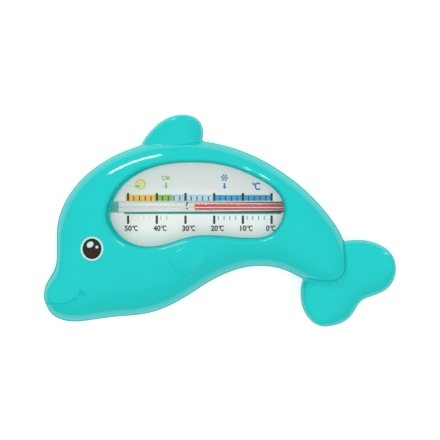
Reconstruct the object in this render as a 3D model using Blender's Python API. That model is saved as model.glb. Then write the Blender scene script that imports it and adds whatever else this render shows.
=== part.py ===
"""Floating bath thermometer shaped like a leaping dolphin, lying on its back.

Two moulded shells close round a white scale plate, a clear window and a glass tube of red spirit.
X runs from the beak to the tail, Y from the belly to the back fin, and Z out of the window.
The origin is on the surface that it lies on, under the middle of its outline.
Sizes are in millimetres, and MM turns them into Blender's metres.
"""

import math

import bmesh
import bpy
import numpy as np
from mathutils import Matrix, Vector
from mathutils.bvhtree import BVHTree

MM = 0.001

# Shells
WALL = 2.0
PARTING_HEIGHT = 12.0
PARTING_GAP = 0.3
FRONT_DEPTH = 15.0
REAR_DEPTH = 12.7
DEEPEST_AT_X = -22.0
TAIL_X = 56.0
FRONT_TAPER = 4.6
REAR_TAPER = 4.2
END_ROUND = 12.0
BODY_FULLNESS = 2.5
FIN_DEPTH = 6.2
FIN_END_ROUND = 6.0
FLUKE_DEPTH = 6.6
FLUKE_END_ROUND = 7.5
FIN_FULLNESS = 3.0
CLEARANCE = 0.3

# Window
WINDOW_FLARE = 1.4
WINDOW_LEAN = (-0.8, 0.7)
RIM_ROUND = 2.2
RIM_LIFT = 0.12
LENS_THICKNESS = 1.4
LENS_LAP = 1.5
CURB_WALL = 1.6

# Tube
TUBE_RADIUS = 2.3
TUBE_Y = 6.0
TUBE_ABOVE_PARTING = 1.5
TUBE_START_X = -57.0
TIP_RADIUS = 1.2
TIP_LENGTH = 1.4
BULB_RADIUS = 2.8
BULB_START_X = 35.4
BULB_END_X = 40.6
GLASS_WALL = 0.7
BORE_RADIUS = 0.85
SPIRIT_CLEARANCE = 0.1
SPIRIT_TOP_DEGREES = 26.7
CUSHION_LENGTH = 3.4
CUSHION_WALL = 1.5
CUSHION_FIT = 0.15

# Scale plate
PLATE_ABOVE_TUBE_AXIS = 0.7
PLATE_THICKNESS = 1.6
PLATE_LAP = 2.5
TROUGH_WALL = 1.1
TROUGH_CLEARANCE = 0.25
TROUGH_INSET = 6.0
SLIT_WIDTH = 0.9

# Heights that stack up from the parting line to the window
TUBE_HEIGHT = PARTING_HEIGHT + TUBE_ABOVE_PARTING
PLATE_TOP = TUBE_HEIGHT + PLATE_ABOVE_TUBE_AXIS
PLATE_BOTTOM = PLATE_TOP - PLATE_THICKNESS
LENS_BOTTOM = TUBE_HEIGHT + TUBE_RADIUS + CLEARANCE
LENS_TOP = LENS_BOTTOM + LENS_THICKNESS

# Bulkhead that keeps the water at the bulb, and its seal
BULKHEAD_X = 33.3
BULKHEAD_THICKNESS = 1.4
SEAL_NECK = 0.9
SEAL_FLANGE_HEIGHT = 0.9
SEAL_FLANGE = 0.5
SEAL_HOLE_REACH = 1.5

# Printed scale
SCALE_50_X = -40.8
SCALE_0_X = 22.9
BAND_LOW_Y = 8.9
BAND_HEIGHT = 2.3
BAND_BOUNDS_DEGREES = (50.7, 40.2, 34.6, 20.0, 0.0)
INK_POCKET = 0.5
INK_THICKNESS = 0.3
INK_GAP = 0.2

# Eye
EYE_AT = (-56.8, -12.5)
EYE_RADII = (5.15, 5.4)
PUPIL_RADII = (4.0, 4.35)
EYE_SEAT = 1.2
EYE_SEAT_REACH = 3.0
EYE_THICKNESS = 1.2
PUPIL_POCKET = 0.6
PUPIL_THICKNESS = 0.5
GLINTS = (
    ("eye_glint_large", (-0.8, 1.8), (1.8, 1.35), 35.0),
    ("eye_glint_small", (2.1, 0.7), (0.8, 0.8), 0.0),
)

# Rear shell fittings
POST_RADIUS = 2.2
PLATE_POSTS = ((-34.0, 16.0), (8.0, 19.0), (-33.0, -5.0), (14.0, -2.5))
PIN_RADIUS = 1.5
PIN_REACH = 5.0
BOSS_WALL = 1.6
WELD_PINS = ((-63.0, -14.0), (-45.0, -32.0), (4.0, -15.5), (44.5, -16.0))
CRADLE_THICKNESS = 2.0
CRADLE_WIDTH = 10.0
CRADLE_BELOW_AXIS = 1.7
CRADLE_BEFORE_BULB_END = 3.0
END_REST_THICKNESS = 4.2
END_REST_BEFORE_TROUGH = 2.6
RAIL_THICKNESS = 1.5
RAIL_INSET = 0.3
SLOT_WIDTH = 1.6
SLOT_LENGTH = 9.0
SLOT_FIRST_AT = (37.0, -11.0)
SLOT_PITCH = 3.2
SLOT_COUNT = 4

# Face relief
FLIPPER_DEPTH = 1.7
FLIPPER_END_ROUND = 3.0
FLIPPER_PROUD = 1.2
MOUTH_RADIUS = 1.0
MOUTH_SINK = 0.7

# Longer than any piece, for what cuts right through
REACH = 100.0

# Outlines in the plane of the parting line. Each row is a point of the upper edge and the
# point of the lower edge that faces it, and the first and last rows are the two tips.
BODY_STATIONS = (
    (-78.1, -33.5, -78.1, -33.5),
    (-77.3, -28.6, -76.9, -38.0),
    (-75.2, -24.7, -74.5, -41.7),
    (-73.1, -20.5, -70.5, -44.0),
    (-72.4, -13.5, -64.6, -44.9),
    (-72.5, -5.0, -57.0, -44.2),
    (-70.9, 3.5, -47.6, -42.9),
    (-65.8, 13.3, -38.0, -42.1),
    (-56.5, 22.8, -29.0, -40.4),
    (-44.0, 30.2, -20.5, -36.9),
    (-29.0, 34.6, -12.5, -32.2),
    (-12.5, 35.6, -4.5, -27.1),
    (3.0, 33.1, 4.0, -23.0),
    (17.0, 27.8, 12.0, -20.7),
    (29.0, 20.6, 19.5, -20.3),
    (39.0, 12.5, 26.5, -21.3),
    (46.8, 4.1, 32.5, -23.7),
    (52.1, -3.2, 38.0, -26.4),
    (55.1, -9.5, 43.0, -28.0),
    (56.4, -15.5, 48.0, -28.3),
    (56.4, -20.5, 52.2, -27.0),
    (55.0, -24.4, 55.0, -24.4),
)
FIN_STATIONS = (
    (-38.0, 24.0, -8.6, 24.0),
    (-36.4, 30.8, -8.3, 31.0),
    (-34.8, 34.3, -7.9, 35.0),
    (-32.5, 37.8, -7.5, 38.6),
    (-29.4, 41.3, -7.9, 41.8),
    (-25.8, 44.2, -9.3, 44.4),
    (-21.9, 46.1, -12.1, 46.3),
    (-16.8, 47.0, -16.8, 47.0),
)
FLUKE_STATIONS = (
    (77.4, -17.2, 77.4, -17.2),
    (78.2, -22.0, 75.3, -13.8),
    (76.8, -27.3, 71.5, -11.0),
    (72.8, -31.5, 66.5, -9.2),
    (67.2, -33.8, 60.8, -8.6),
    (63.2, -35.6, 54.0, -9.6),
    (60.9, -38.4, 46.5, -13.6),
    (59.2, -41.2, 40.0, -20.0),
    (56.8, -43.9, 36.6, -27.0),
    (53.0, -46.0, 35.9, -33.5),
    (48.8, -47.0, 36.9, -39.0),
    (45.6, -47.1, 39.6, -43.6),
    (42.6, -46.1, 42.6, -46.1),
)
FLIPPER_STATIONS = (
    (-22.4, -17.3, -22.4, -17.3),
    (-21.2, -14.8, -21.3, -20.4),
    (-18.2, -12.4, -19.3, -23.2),
    (-14.5, -11.1, -16.9, -25.0),
    (-10.5, -11.0, -14.4, -25.6),
    (-7.2, -11.8, -11.9, -24.6),
    (-5.4, -13.6, -9.4, -21.8),
    (-5.0, -16.2, -7.0, -19.2),
    (-5.6, -18.0, -5.6, -18.0),
)
WINDOW_OUTLINE = (
    (-48.5, 2.7),
    (-46.9, -3.0),
    (-41.9, -8.4),
    (-34.0, -11.3),
    (-27.0, -11.0),
    (-19.8, -9.0),
    (-12.5, -7.0),
    (-4.0, -6.4),
    (5.5, -7.1),
    (13.4, -7.6),
    (18.7, -7.2),
    (23.4, -5.2),
    (26.7, -0.9),
    (28.2, 5.0),
    (26.9, 10.3),
    (23.0, 14.9),
    (16.6, 19.0),
    (8.0, 22.9),
    (-1.0, 25.3),
    (-11.0, 26.1),
    (-21.0, 25.6),
    (-29.5, 23.8),
    (-37.0, 20.4),
    (-43.0, 15.4),
    (-47.0, 9.0),
)
MOUTH_LINE = (
    (-78.6, -36.2),
    (-75.5, -37.6),
    (-71.5, -38.6),
    (-67.5, -38.0),
    (-64.2, -36.0),
    (-61.8, -33.4),
)
CHEEK_CREASE = ((-62.9, -30.9), (-61.6, -33.2), (-60.1, -35.9))

FIN_FORMS = (
    ("fin", FIN_STATIONS, FIN_DEPTH, FIN_END_ROUND, True),
    ("fluke", FLUKE_STATIONS, FLUKE_DEPTH, FLUKE_END_ROUND, False),
)

TEAL = (0.0, 0.60, 0.57)
WHITE = (0.86, 0.89, 0.88)
MATERIALS = {
    "teal_plastic": (TEAL, 0.22, 1.0),
    "plate_white": (WHITE, 0.45, 1.0),
    "clear_plastic": ((0.9, 0.97, 0.97), 0.05, 0.2),
    "tube_glass": ((0.85, 0.92, 0.9), 0.03, 0.35),
    "spirit_red": ((0.75, 0.03, 0.05), 0.2, 1.0),
    "silicone": ((0.80, 0.80, 0.78), 0.6, 1.0),
    "ink_amber": ((0.95, 0.55, 0.03), 0.5, 1.0),
    "ink_green": ((0.25, 0.55, 0.04), 0.5, 1.0),
    "ink_pale_blue": ((0.45, 0.68, 0.82), 0.5, 1.0),
    "ink_blue": ((0.0, 0.30, 0.65), 0.5, 1.0),
    "eye_white": ((0.62, 0.85, 0.82), 0.3, 1.0),
    "eye_brown": ((0.03, 0.01, 0.005), 0.25, 1.0),
}


def clear_scene():
    for obj in list(bpy.data.objects):
        bpy.data.objects.remove(obj)


def material(name):
    """A Principled BSDF with the colour, roughness and alpha of the named finish."""
    found = bpy.data.materials.get(name)
    if found:
        return found
    colour, roughness, alpha = MATERIALS[name]
    made = bpy.data.materials.new(name)
    made.use_nodes = True
    shader = made.node_tree.nodes["Principled BSDF"]
    shader.inputs["Base Color"].default_value = (*colour, 1.0)
    shader.inputs["Roughness"].default_value = roughness
    shader.inputs["Metallic"].default_value = 0.0
    shader.inputs["Alpha"].default_value = alpha
    made.diffuse_color = (*colour, alpha)
    return made


def new_object(name, points, faces):
    """An object whose mesh has these points, in millimetres, with its faces turned outwards."""
    mesh = bpy.data.meshes.new(name)
    mesh.from_pydata([Vector(p) * MM for p in points], [], faces)
    bm = bmesh.new()
    bm.from_mesh(mesh)
    bmesh.ops.recalc_face_normals(bm, faces=bm.faces)
    bm.to_mesh(mesh)
    bm.free()
    obj = bpy.data.objects.new(name, mesh)
    bpy.context.scene.collection.objects.link(obj)
    return obj


def through(rows, steps, closed=False):
    """A natural cubic spline through the rows, with steps samples in each span."""
    points = np.array(rows, float)
    lap = 4 if closed else 0
    if closed:
        points = np.vstack([points[-lap:], points, points[:lap]])
    moves = np.linalg.norm(np.diff(points, axis=0), axis=1)
    at = np.concatenate([[0.0], np.cumsum(moves)])
    count = len(points)
    system = np.eye(count)
    bend = np.zeros_like(points)
    for i in range(1, count - 1):
        before, after = moves[i - 1], moves[i]
        system[i, i - 1 : i + 2] = before, 2 * (before + after), after
        rise = (points[i + 1] - points[i]) / after - (points[i] - points[i - 1]) / before
        bend[i] = 6 * rise
    bend = np.linalg.solve(system, bend)
    first, last = lap, count - 1 - lap + (1 if closed else 0)
    sampled = []
    for i in range(first, last):
        span = at[i + 1] - at[i]
        for k in range(steps):
            b = k / steps
            a = 1 - b
            curve = (a**3 - a) * bend[i] + (b**3 - b) * bend[i + 1]
            sampled.append(a * points[i] + b * points[i + 1] + curve * span**2 / 6)
    if not closed:
        sampled.append(points[-1])
    return np.array(sampled)


def turned_right(directions):
    """Each 2-D direction, made a unit vector and turned a quarter turn clockwise."""
    lengths = np.linalg.norm(directions, axis=1, keepdims=True)
    unit = directions / np.maximum(lengths, 1e-9)
    return np.stack([unit[:, 1], -unit[:, 0]], axis=1)


def edges_of(stations, steps, inset=0.0, open_start=False):
    """The two edges of a form and its half width, sampled in step and moved in by inset.

    Each tip is rounded by letting the edges run on round it."""
    rows = np.array(stations, float)
    left, right = rows[:, :2], rows[:, 2:]
    head = 0 if open_start else 2
    before = np.hstack([right[head:0:-1], left[head:0:-1]])
    after = np.hstack([right[-2:-4:-1], left[-2:-4:-1]])
    sampled = through(np.vstack([before, rows, after]), steps)
    left, right = sampled[:, :2], sampled[:, 2:]
    across = left - right
    across /= np.maximum(np.linalg.norm(across, axis=1, keepdims=True), 1e-9)
    left_in = left + turned_right(np.gradient(left, axis=0)) * inset
    right_in = right - turned_right(np.gradient(right, axis=0)) * inset
    half = np.sum((left_in - right_in) * across, axis=1) / 2
    keep = slice(head * steps, len(sampled) - 2 * steps)
    return left_in[keep], right_in[keep], half[keep]


def body_depths(x, thinner=0.0):
    """The body's depth in front of and behind the parting line, which tapers to both ends."""
    share = ((x - DEEPEST_AT_X) / (TAIL_X - DEEPEST_AT_X)) ** 2
    return FRONT_DEPTH - FRONT_TAPER * share - thinner, REAR_DEPTH - REAR_TAPER * share - thinner


def even_depths(depth):
    """Depths for a fin, the same in front and behind and all along it."""
    return lambda x, thinner=0.0: (depth - thinner, depth - thinner)


def rounded_form(
    name, stations, depths, end_round, fullness, inset=0.0, steps=2, around=(9, 8), open_start=False
):
    """A pillow between two facing edges: superellipse sections that shrink to a rounded tip.

    around gives the faces across the front and across the rear of each section."""
    left, right, half = edges_of(stations, steps, inset, open_start)
    keep = half > max(inset / 2, 0.05)
    if open_start:
        keep[0] = True
    left, right, half = left[keep], right[keep], half[keep]
    front, rear = around
    angles = [math.pi * k / front for k in range(front + 1)]
    angles += [math.pi + math.pi * k / rear for k in range(1, rear)]
    power = 2 / fullness
    points, faces = [], []
    for top, bottom, width in zip(left, right, half):
        middle, reach = (top + bottom) / 2, (top - bottom) / 2
        roundness = math.sqrt(1 - (1 - min(width / end_round, 1)) ** 2)
        ahead, behind = depths(middle[0], inset)
        for angle in angles:
            across = math.copysign(abs(math.cos(angle)) ** power, math.cos(angle))
            rise = abs(math.sin(angle)) ** power * roundness
            rise *= ahead if math.sin(angle) > 0 else -behind
            points.append((*(middle + reach * across), PARTING_HEIGHT + rise))
    ring = len(angles)
    for i in range(len(half) - 1):
        for k in range(ring):
            a, b = i * ring + k, i * ring + (k + 1) % ring
            faces.append((a, b, b + ring, a + ring))
    last = (len(half) - 1) * ring
    ends = [(last, stations[-1][:2], len(half) - 1)]
    if open_start:
        faces.append(tuple(range(ring)))
    else:
        ends.append((0, stations[0][:2], 0))
    for base, tip, row in ends:
        tip = (left[row] + right[row]) / 2 if inset else tip
        points.append((*tip, PARTING_HEIGHT))
        for k in range(ring):
            faces.append((base + k, base + (k + 1) % ring, len(points) - 1))
    return new_object(name, points, faces)


def offset_outline(outline, distance):
    """A closed anticlockwise outline moved outwards by distance."""
    along = np.roll(outline, -1, axis=0) - np.roll(outline, 1, axis=0)
    return outline + turned_right(along) * distance


def stacked(name, loops):
    """A solid through closed loops of 3-D points, capped by its first and last loop."""
    count = len(loops[0])
    points = [tuple(p) for loop in loops for p in loop]
    faces = [tuple(range(count)), tuple(range((len(loops) - 1) * count, len(loops) * count))]
    for level in range(len(loops) - 1):
        for k in range(count):
            a, b = level * count + k, level * count + (k + 1) % count
            faces.append((a, b, b + count, a + count))
    return new_object(name, points, faces)


def prism(name, outline, low, high):
    """An upright solid over a 2-D outline."""
    return stacked(name, [[(x, y, z) for x, y in outline] for z in (low, high)])


def upright_bar(name, at, radius, sides, low, high):
    """An upright round bar."""
    return prism(name, ellipse(at, (radius, radius), sides), low, high)


def ellipse(centre, radii, count, turn=0.0):
    """Points round an ellipse, anticlockwise, turned by an angle in degrees."""
    angle = math.radians(turn)
    found = []
    for k in range(count):
        t = 2 * math.pi * k / count
        x, y = radii[0] * math.cos(t), radii[1] * math.sin(t)
        found.append(
            (
                centre[0] + x * math.cos(angle) - y * math.sin(angle),
                centre[1] + x * math.sin(angle) + y * math.cos(angle),
            )
        )
    return np.array(found)


def rectangle(left, right, low, high):
    return np.array([(left, low), (right, low), (right, high), (left, high)])


def turned(name, profile, sides):
    """A solid of revolution about the tube's axis. The profile is (x, radius), from end to end."""
    points, faces = [], []
    for x, radius in profile:
        for k in range(sides):
            angle = 2 * math.pi * k / sides
            points.append(
                (x, TUBE_Y + radius * math.cos(angle), TUBE_HEIGHT + radius * math.sin(angle))
            )
    rings = len(profile)
    for i in range(rings - 1):
        for k in range(sides):
            a, b = i * sides + k, i * sides + (k + 1) % sides
            faces.append((a, b, b + sides, a + sides))
    faces.append(tuple(range(sides)))
    faces.append(tuple(range((rings - 1) * sides, rings * sides)))
    return new_object(name, points, faces)


def combine(target, tool, operation):
    """Applies a Boolean to target and removes the tool."""
    modifier = target.modifiers.new(operation.lower(), "BOOLEAN")
    modifier.operation = operation
    modifier.solver = "EXACT"
    modifier.object = tool
    bpy.context.view_layer.objects.active = target
    bpy.ops.object.modifier_apply(modifier=modifier.name)
    bpy.data.objects.remove(tool)


def cut(target, *tools):
    for tool in tools:
        combine(target, tool, "DIFFERENCE")


def join(target, *tools):
    for tool in tools:
        combine(target, tool, "UNION")


def keep_side(obj, height, above):
    """Cuts the object flat at a height and keeps what is above or below it."""
    bm = bmesh.new()
    bm.from_mesh(obj.data)
    found = bmesh.ops.bisect_plane(
        bm,
        geom=bm.verts[:] + bm.edges[:] + bm.faces[:],
        plane_co=(0, 0, height * MM),
        plane_no=(0, 0, 1),
        clear_inner=above,
        clear_outer=not above,
    )
    edges = [e for e in found["geom_cut"] if isinstance(e, bmesh.types.BMEdge)]
    bmesh.ops.edgeloop_fill(bm, edges=edges)
    bmesh.ops.recalc_face_normals(bm, faces=bm.faces)
    bm.to_mesh(obj.data)
    bm.free()


def copy_of(obj, name):
    made = obj.copy()
    made.data = obj.data.copy()
    made.name = name
    bpy.context.scene.collection.objects.link(made)
    return made


def finish(obj, finish_name, smooth_degrees=40):
    """Gives the object its material and smooth shading up to an angle."""
    obj.data.materials.clear()
    obj.data.materials.append(material(finish_name))
    obj.data.shade_smooth()
    obj.data.set_sharp_from_angle(angle=math.radians(smooth_degrees))
    return obj


def body_form(name, steps, around, inset=0.0):
    """The body alone, whole or moved in by inset."""
    return rounded_form(
        name, BODY_STATIONS, body_depths, END_ROUND, BODY_FULLNESS, inset, steps, around
    )


def outer_form(name):
    """The whole dolphin as one solid: body, back fin and tail fluke."""
    body = body_form(name, 3, (10, 7))
    fin, fluke = [
        rounded_form(
            name, stations, even_depths(depth), end_round, FIN_FULLNESS, 0.0, 3, (7, 6), open_start
        )
        for name, stations, depth, end_round, open_start in FIN_FORMS
    ]
    join(body, fin, fluke)
    return body


def hollow_tools():
    """The cores that hollow the body, the fin and the fluke, each a wall inside its form."""
    body = body_form("core", 2, (7, 6), WALL)
    half = BULKHEAD_THICKNESS / 2
    across = rectangle(BULKHEAD_X - half, BULKHEAD_X + half, -REACH, REACH)
    cut(body, prism("bulkhead", across, -REACH, REACH))
    fin, fluke = [
        rounded_form(
            name, stations, even_depths(depth), end_round, FIN_FULLNESS, WALL, 1, (5, 5), open_start
        )
        for name, stations, depth, end_round, open_start in FIN_FORMS
    ]
    return body, fluke, fin


def fitted(name, tools):
    """The tools as one mesh, trimmed to the middle of the walls so that they end inside them."""
    bm = bmesh.new()
    for tool in tools:
        bm.from_mesh(tool.data)
        bpy.data.objects.remove(tool)
    mesh = bpy.data.meshes.new(name)
    bm.to_mesh(mesh)
    bm.free()
    obj = bpy.data.objects.new(name, mesh)
    bpy.context.scene.collection.objects.link(obj)
    trim = body_form("trim", 2, (8, 8), WALL / 2)
    keep_side(trim, WALL / 2, above=True)
    combine(obj, trim, "INTERSECT")
    return obj


def seal_hole():
    """The hole through the bulkhead that the seal sits in."""
    radius = seal_neck_radius() + CUSHION_FIT
    ends = (BULKHEAD_X - SEAL_HOLE_REACH, BULKHEAD_X + SEAL_HOLE_REACH)
    return turned("seal_hole", [(x, radius) for x in ends], 24)


def seal_neck_radius():
    return TUBE_RADIUS + CUSHION_FIT + SEAL_NECK


class Surface:
    """The outer form, asked for its height and its slope from above."""

    def __init__(self, obj):
        self.tree = BVHTree.FromObject(obj, bpy.context.evaluated_depsgraph_get())

    def look(self, x, y):
        hit, normal, _, _ = self.tree.ray_cast(Vector((x, y, REACH)) * MM, Vector((0, 0, -1)))
        return (hit.z / MM, normal) if hit else (PARTING_HEIGHT, Vector((0, 0, 1)))

    def height(self, x, y):
        return self.look(x, y)[0]

    def place(self, x, y, lift=0.0):
        """The move that stands something on the face at x, y, square to it."""
        height, normal = self.look(x, y)
        turn = Vector((0, 0, 1)).rotation_difference(normal).to_matrix().to_4x4()
        return Matrix.Translation(Vector((x, y, height + lift)) * MM) @ turn


def window_outline():
    return through(WINDOW_OUTLINE, 2, closed=True)


def window_cutter(surface):
    """The window's opening: a leaning wall that rolls over into the face with a round."""
    sight = window_outline()
    lip = offset_outline(sight, WINDOW_FLARE) + np.array(WINDOW_LEAN)
    outwards = turned_right(np.roll(lip, -1, axis=0) - np.roll(lip, 1, axis=0))
    outer = lip + outwards * RIM_ROUND
    heights = [surface.height(x, y) for x, y in outer]
    beyond = [surface.height(x, y) for x, y in outer + outwards]
    slopes = [math.atan2(low - high, 1.0) for low, high in zip(beyond, heights)]
    even = np.ones(5) / 5
    pad = len(even) // 2
    slopes = np.convolve(np.r_[slopes[-pad:], slopes, slopes[:pad]], even, "valid")
    loops = [[(x, y, LENS_BOTTOM) for x, y in sight]]
    loops.append([(x, y, LENS_TOP) for x, y in sight])
    arc_steps = 5
    for k in range(arc_steps + 1):
        loop = []
        for point, out, height, slope in zip(lip, outwards, heights, slopes):
            # The round starts on the wall and ends along the face, which may fall away.
            turn = (math.pi / 2 - slope) * k / arc_steps
            end = math.pi / 2 - slope
            x_end, z_end = RIM_ROUND * (1 - math.cos(end)), RIM_ROUND * math.sin(end)
            along = RIM_ROUND * (1 - math.cos(turn)) * (RIM_ROUND / x_end)
            rise = height + RIM_LIFT - z_end + RIM_ROUND * math.sin(turn)
            loop.append((*(point + out * along), rise))
        loops.append(loop)
    loops.append([(x, y, REACH) for x, y, _ in loops[-1]])
    return stacked("window_cutter", loops)


def make_front_shell(outer, surface):
    """The front half: face, fin and fluke, with the window, its curb and the weld pins."""
    shell = copy_of(outer, "front_shell")
    keep_side(shell, PARTING_HEIGHT + PARTING_GAP / 2, above=True)
    sight = window_outline()
    body_core, fluke_core, fin_core = hollow_tools()
    curb_bottom = PLATE_TOP + CLEARANCE
    curb_out = LENS_LAP + CLEARANCE + CURB_WALL
    curb = prism("curb", offset_outline(sight, curb_out), curb_bottom, REACH)
    cut(body_core, curb)
    cut(shell, body_core, fluke_core, fin_core)
    join(shell, make_flipper(surface))
    lens_seat = offset_outline(sight, LENS_LAP + CLEARANCE)
    pocket = prism("lens_pocket", lens_seat, PARTING_HEIGHT, LENS_TOP + CLEARANCE)
    cut(shell, pocket, window_cutter(surface))
    notch_radius = TUBE_RADIUS + TROUGH_CLEARANCE
    notch = turned("tube_notch", [(TUBE_START_X, notch_radius), (BULKHEAD_X, notch_radius)], 16)
    cut(shell, notch)
    cut(shell, groove("mouth", MOUTH_LINE, surface), groove("crease", CHEEK_CREASE, surface))
    cut(shell, eye_disc("eye_seat", EYE_RADII, CLEARANCE, -EYE_SEAT, EYE_SEAT_REACH, surface))
    pin_low = PARTING_HEIGHT - PIN_REACH
    pins = [upright_bar("pin", at, PIN_RADIUS, 12, pin_low, REACH) for at in WELD_PINS]
    join(shell, fitted("pins", pins))
    cut(shell, seal_hole())
    return finish(shell, "teal_plastic")


def make_flipper(surface):
    """The side flipper, a low leaf in relief on the flank."""
    leaf = rounded_form(
        "flipper",
        FLIPPER_STATIONS,
        even_depths(FLIPPER_DEPTH),
        FLIPPER_END_ROUND,
        FIN_FULLNESS,
        steps=2,
        around=(6, 4),
    )
    rows = np.array(FLIPPER_STATIONS)
    x, y = (rows[:, :2].mean(0) + rows[:, 2:].mean(0)) / 2
    base = Matrix.Translation(Vector((-x, -y, -PARTING_HEIGHT)) * MM)
    leaf.data.transform(surface.place(x, y, FLIPPER_PROUD - FLIPPER_DEPTH) @ base)
    return leaf


def groove(name, line, surface):
    """A round-bottomed groove along a line drawn on the face, fading out at both ends."""
    path = through(line, 3)
    side = turned_right(np.gradient(path, axis=0))
    sides = 8
    loops = []
    for step, ((x, y), across) in enumerate(zip(path, side)):
        share = (step + 0.5) / len(path)
        radius = MOUTH_RADIUS * math.sin(math.pi * share) ** 0.5
        height = surface.height(x, y) + MOUTH_RADIUS - MOUTH_SINK
        loop = []
        for k in range(sides):
            angle = 2 * math.pi * k / sides
            flat = across * radius * math.cos(angle)
            loop.append((x + flat[0], y + flat[1], height + radius * math.sin(angle)))
        loops.append(loop)
    return stacked(name, loops)


def eye_disc(name, radii, grow, low, high, surface, centre=(0.0, 0.0), turn=0.0, sides=28):
    """An elliptical disc that follows the face at the eye, from low to high above it."""
    outline = ellipse(centre, (radii[0] + grow, radii[1] + grow), sides, turn)
    disc = prism(name, outline, low, high)
    disc.data.transform(surface.place(*EYE_AT))
    return disc


def make_eye(surface):
    """The printed eye: a pale disc, a brown pupil let into it and two glints."""
    white_low = CLEARANCE - EYE_SEAT
    white_high = white_low + EYE_THICKNESS
    white = eye_disc("eye_white", EYE_RADII, 0, white_low, white_high, surface)
    pocket_low = white_high - PUPIL_POCKET
    cut(white, eye_disc("pocket", PUPIL_RADII, INK_GAP, pocket_low, white_high + 1, surface))
    pupil_low = pocket_low + INK_GAP
    pupil_high = pupil_low + PUPIL_THICKNESS
    pupil = eye_disc("eye_pupil", PUPIL_RADII, 0, pupil_low, pupil_high, surface)
    for name, at, radii, turn in GLINTS:
        hole = eye_disc("hole", radii, INK_GAP, pupil_low - 1, pupil_high + 1, surface, at, turn, 16)
        cut(pupil, hole)
        finish(eye_disc(name, radii, 0, pupil_low, pupil_high, surface, at, turn, 16), "eye_white")
    finish(white, "eye_white")
    finish(pupil, "eye_brown")


def make_rear_shell(outer):
    """The rear half: a flat to lie on, posts, weld bosses, the tube's rests and water slots."""
    shell = copy_of(outer, "rear_shell")
    keep_side(shell, PARTING_HEIGHT - PARTING_GAP / 2, above=False)
    keep_side(shell, 0.0, above=True)
    body_core, fluke_core, fin_core = hollow_tools()
    keep_side(body_core, WALL, above=True)
    cut(shell, body_core, fluke_core, fin_core)
    boss_top = PARTING_HEIGHT - PARTING_GAP / 2
    join(shell, fitted("fittings", rear_fittings(boss_top)))
    bore = PIN_RADIUS + CLEARANCE
    bore_low = PARTING_HEIGHT - PIN_REACH - CLEARANCE
    for at in WELD_PINS:
        cut(shell, upright_bar("bore", at, bore, 12, bore_low, boss_top + 1))
    for x, radius, thickness in tube_rests():
        saddle = radius + CLEARANCE
        cut(shell, turned("saddle", [(x - thickness, saddle), (x + thickness, saddle)], 20))
    cut(shell, seal_hole())
    for k in range(SLOT_COUNT):
        x, y = SLOT_FIRST_AT[0] + k * SLOT_PITCH, SLOT_FIRST_AT[1]
        slot = rectangle(x - SLOT_WIDTH / 2, x + SLOT_WIDTH / 2, y, y + SLOT_LENGTH)
        cut(shell, prism("slot", slot, -REACH, PARTING_HEIGHT - WALL))
    return finish(shell, "teal_plastic")


def rear_fittings(boss_top):
    """What stands on the rear shell's floor: posts, bosses, the tube's rests and the slit's rail."""
    under_plate = PLATE_BOTTOM - CLEARANCE
    boss = PIN_RADIUS + CLEARANCE + BOSS_WALL
    fittings = [upright_bar("post", at, POST_RADIUS, 12, -REACH, under_plate) for at in PLATE_POSTS]
    fittings += [upright_bar("boss", at, boss, 16, -REACH, boss_top) for at in WELD_PINS]
    low, high = TUBE_Y - CRADLE_WIDTH / 2, TUBE_Y + CRADLE_WIDTH / 2
    for x, _, thickness in tube_rests():
        rib = rectangle(x - thickness / 2, x + thickness / 2, low, high)
        fittings.append(prism("rib", rib, -REACH, TUBE_HEIGHT - CRADLE_BELOW_AXIS))
    left, right = slit_ends()
    edge = TUBE_Y - TUBE_RADIUS - RAIL_INSET
    rail = rectangle(left + CLEARANCE, right - CLEARANCE, edge - RAIL_THICKNESS, edge)
    fittings.append(prism("rail", rail, -REACH, under_plate))
    return fittings


def tube_rests():
    """Where the ribs under the tube stand, the radius that each one carries and its thickness."""
    cushion = TUBE_RADIUS + CUSHION_FIT + CUSHION_WALL
    end_rest = trough_ends()[0] - END_REST_BEFORE_TROUGH
    return (
        (TUBE_START_X + 1.0 + CUSHION_LENGTH / 2, cushion, CRADLE_THICKNESS),
        (end_rest, TUBE_RADIUS, END_REST_THICKNESS),
        (BULB_END_X - CRADLE_BEFORE_BULB_END, BULB_RADIUS, CRADLE_THICKNESS),
    )


def make_lens():
    """The clear window, set into the curb from behind."""
    outline = offset_outline(window_outline(), LENS_LAP)
    return finish(prism("window_lens", outline, LENS_BOTTOM, LENS_TOP), "clear_plastic")


def make_scale_plate():
    """The white plate, with a trough for the tube and an open slit along the tube's lower side."""
    plate = prism("scale_plate", plate_outline(), PLATE_BOTTOM, PLATE_TOP)
    trough = TUBE_RADIUS + TROUGH_CLEARANCE
    left, right = trough_ends()
    shell = turned("trough", [(left, trough + TROUGH_WALL), (right, trough + TROUGH_WALL)], 24)
    keep_side(shell, (PLATE_TOP + PLATE_BOTTOM) / 2, above=False)
    edge = TUBE_Y - TUBE_RADIUS
    open_side = rectangle(*slit_ends(), edge - REACH, edge)
    cut(shell, prism("open_side", open_side, -REACH, REACH))
    join(plate, shell)
    cut(plate, turned("channel", [(-REACH, trough), (REACH, trough)], 24))
    top = rectangle(-REACH, REACH, TUBE_Y - trough, TUBE_Y + trough)
    cut(plate, prism("channel_top", top, TUBE_HEIGHT, REACH))
    slit = rectangle(*slit_ends(), edge - SLIT_WIDTH, edge)
    cut(plate, prism("slit", slit, -REACH, REACH))
    return plate


def plate_outline():
    return offset_outline(window_outline(), PLATE_LAP)


def trough_ends():
    """Where the trough under the tube starts and ends."""
    outline = plate_outline()
    return outline[:, 0].min() + TROUGH_INSET, outline[:, 0].max() - TROUGH_WALL


def slit_ends():
    """Where the open slit along the tube's lower side starts and ends."""
    left, right = trough_ends()
    return left + PLATE_LAP, right - PLATE_LAP


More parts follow.
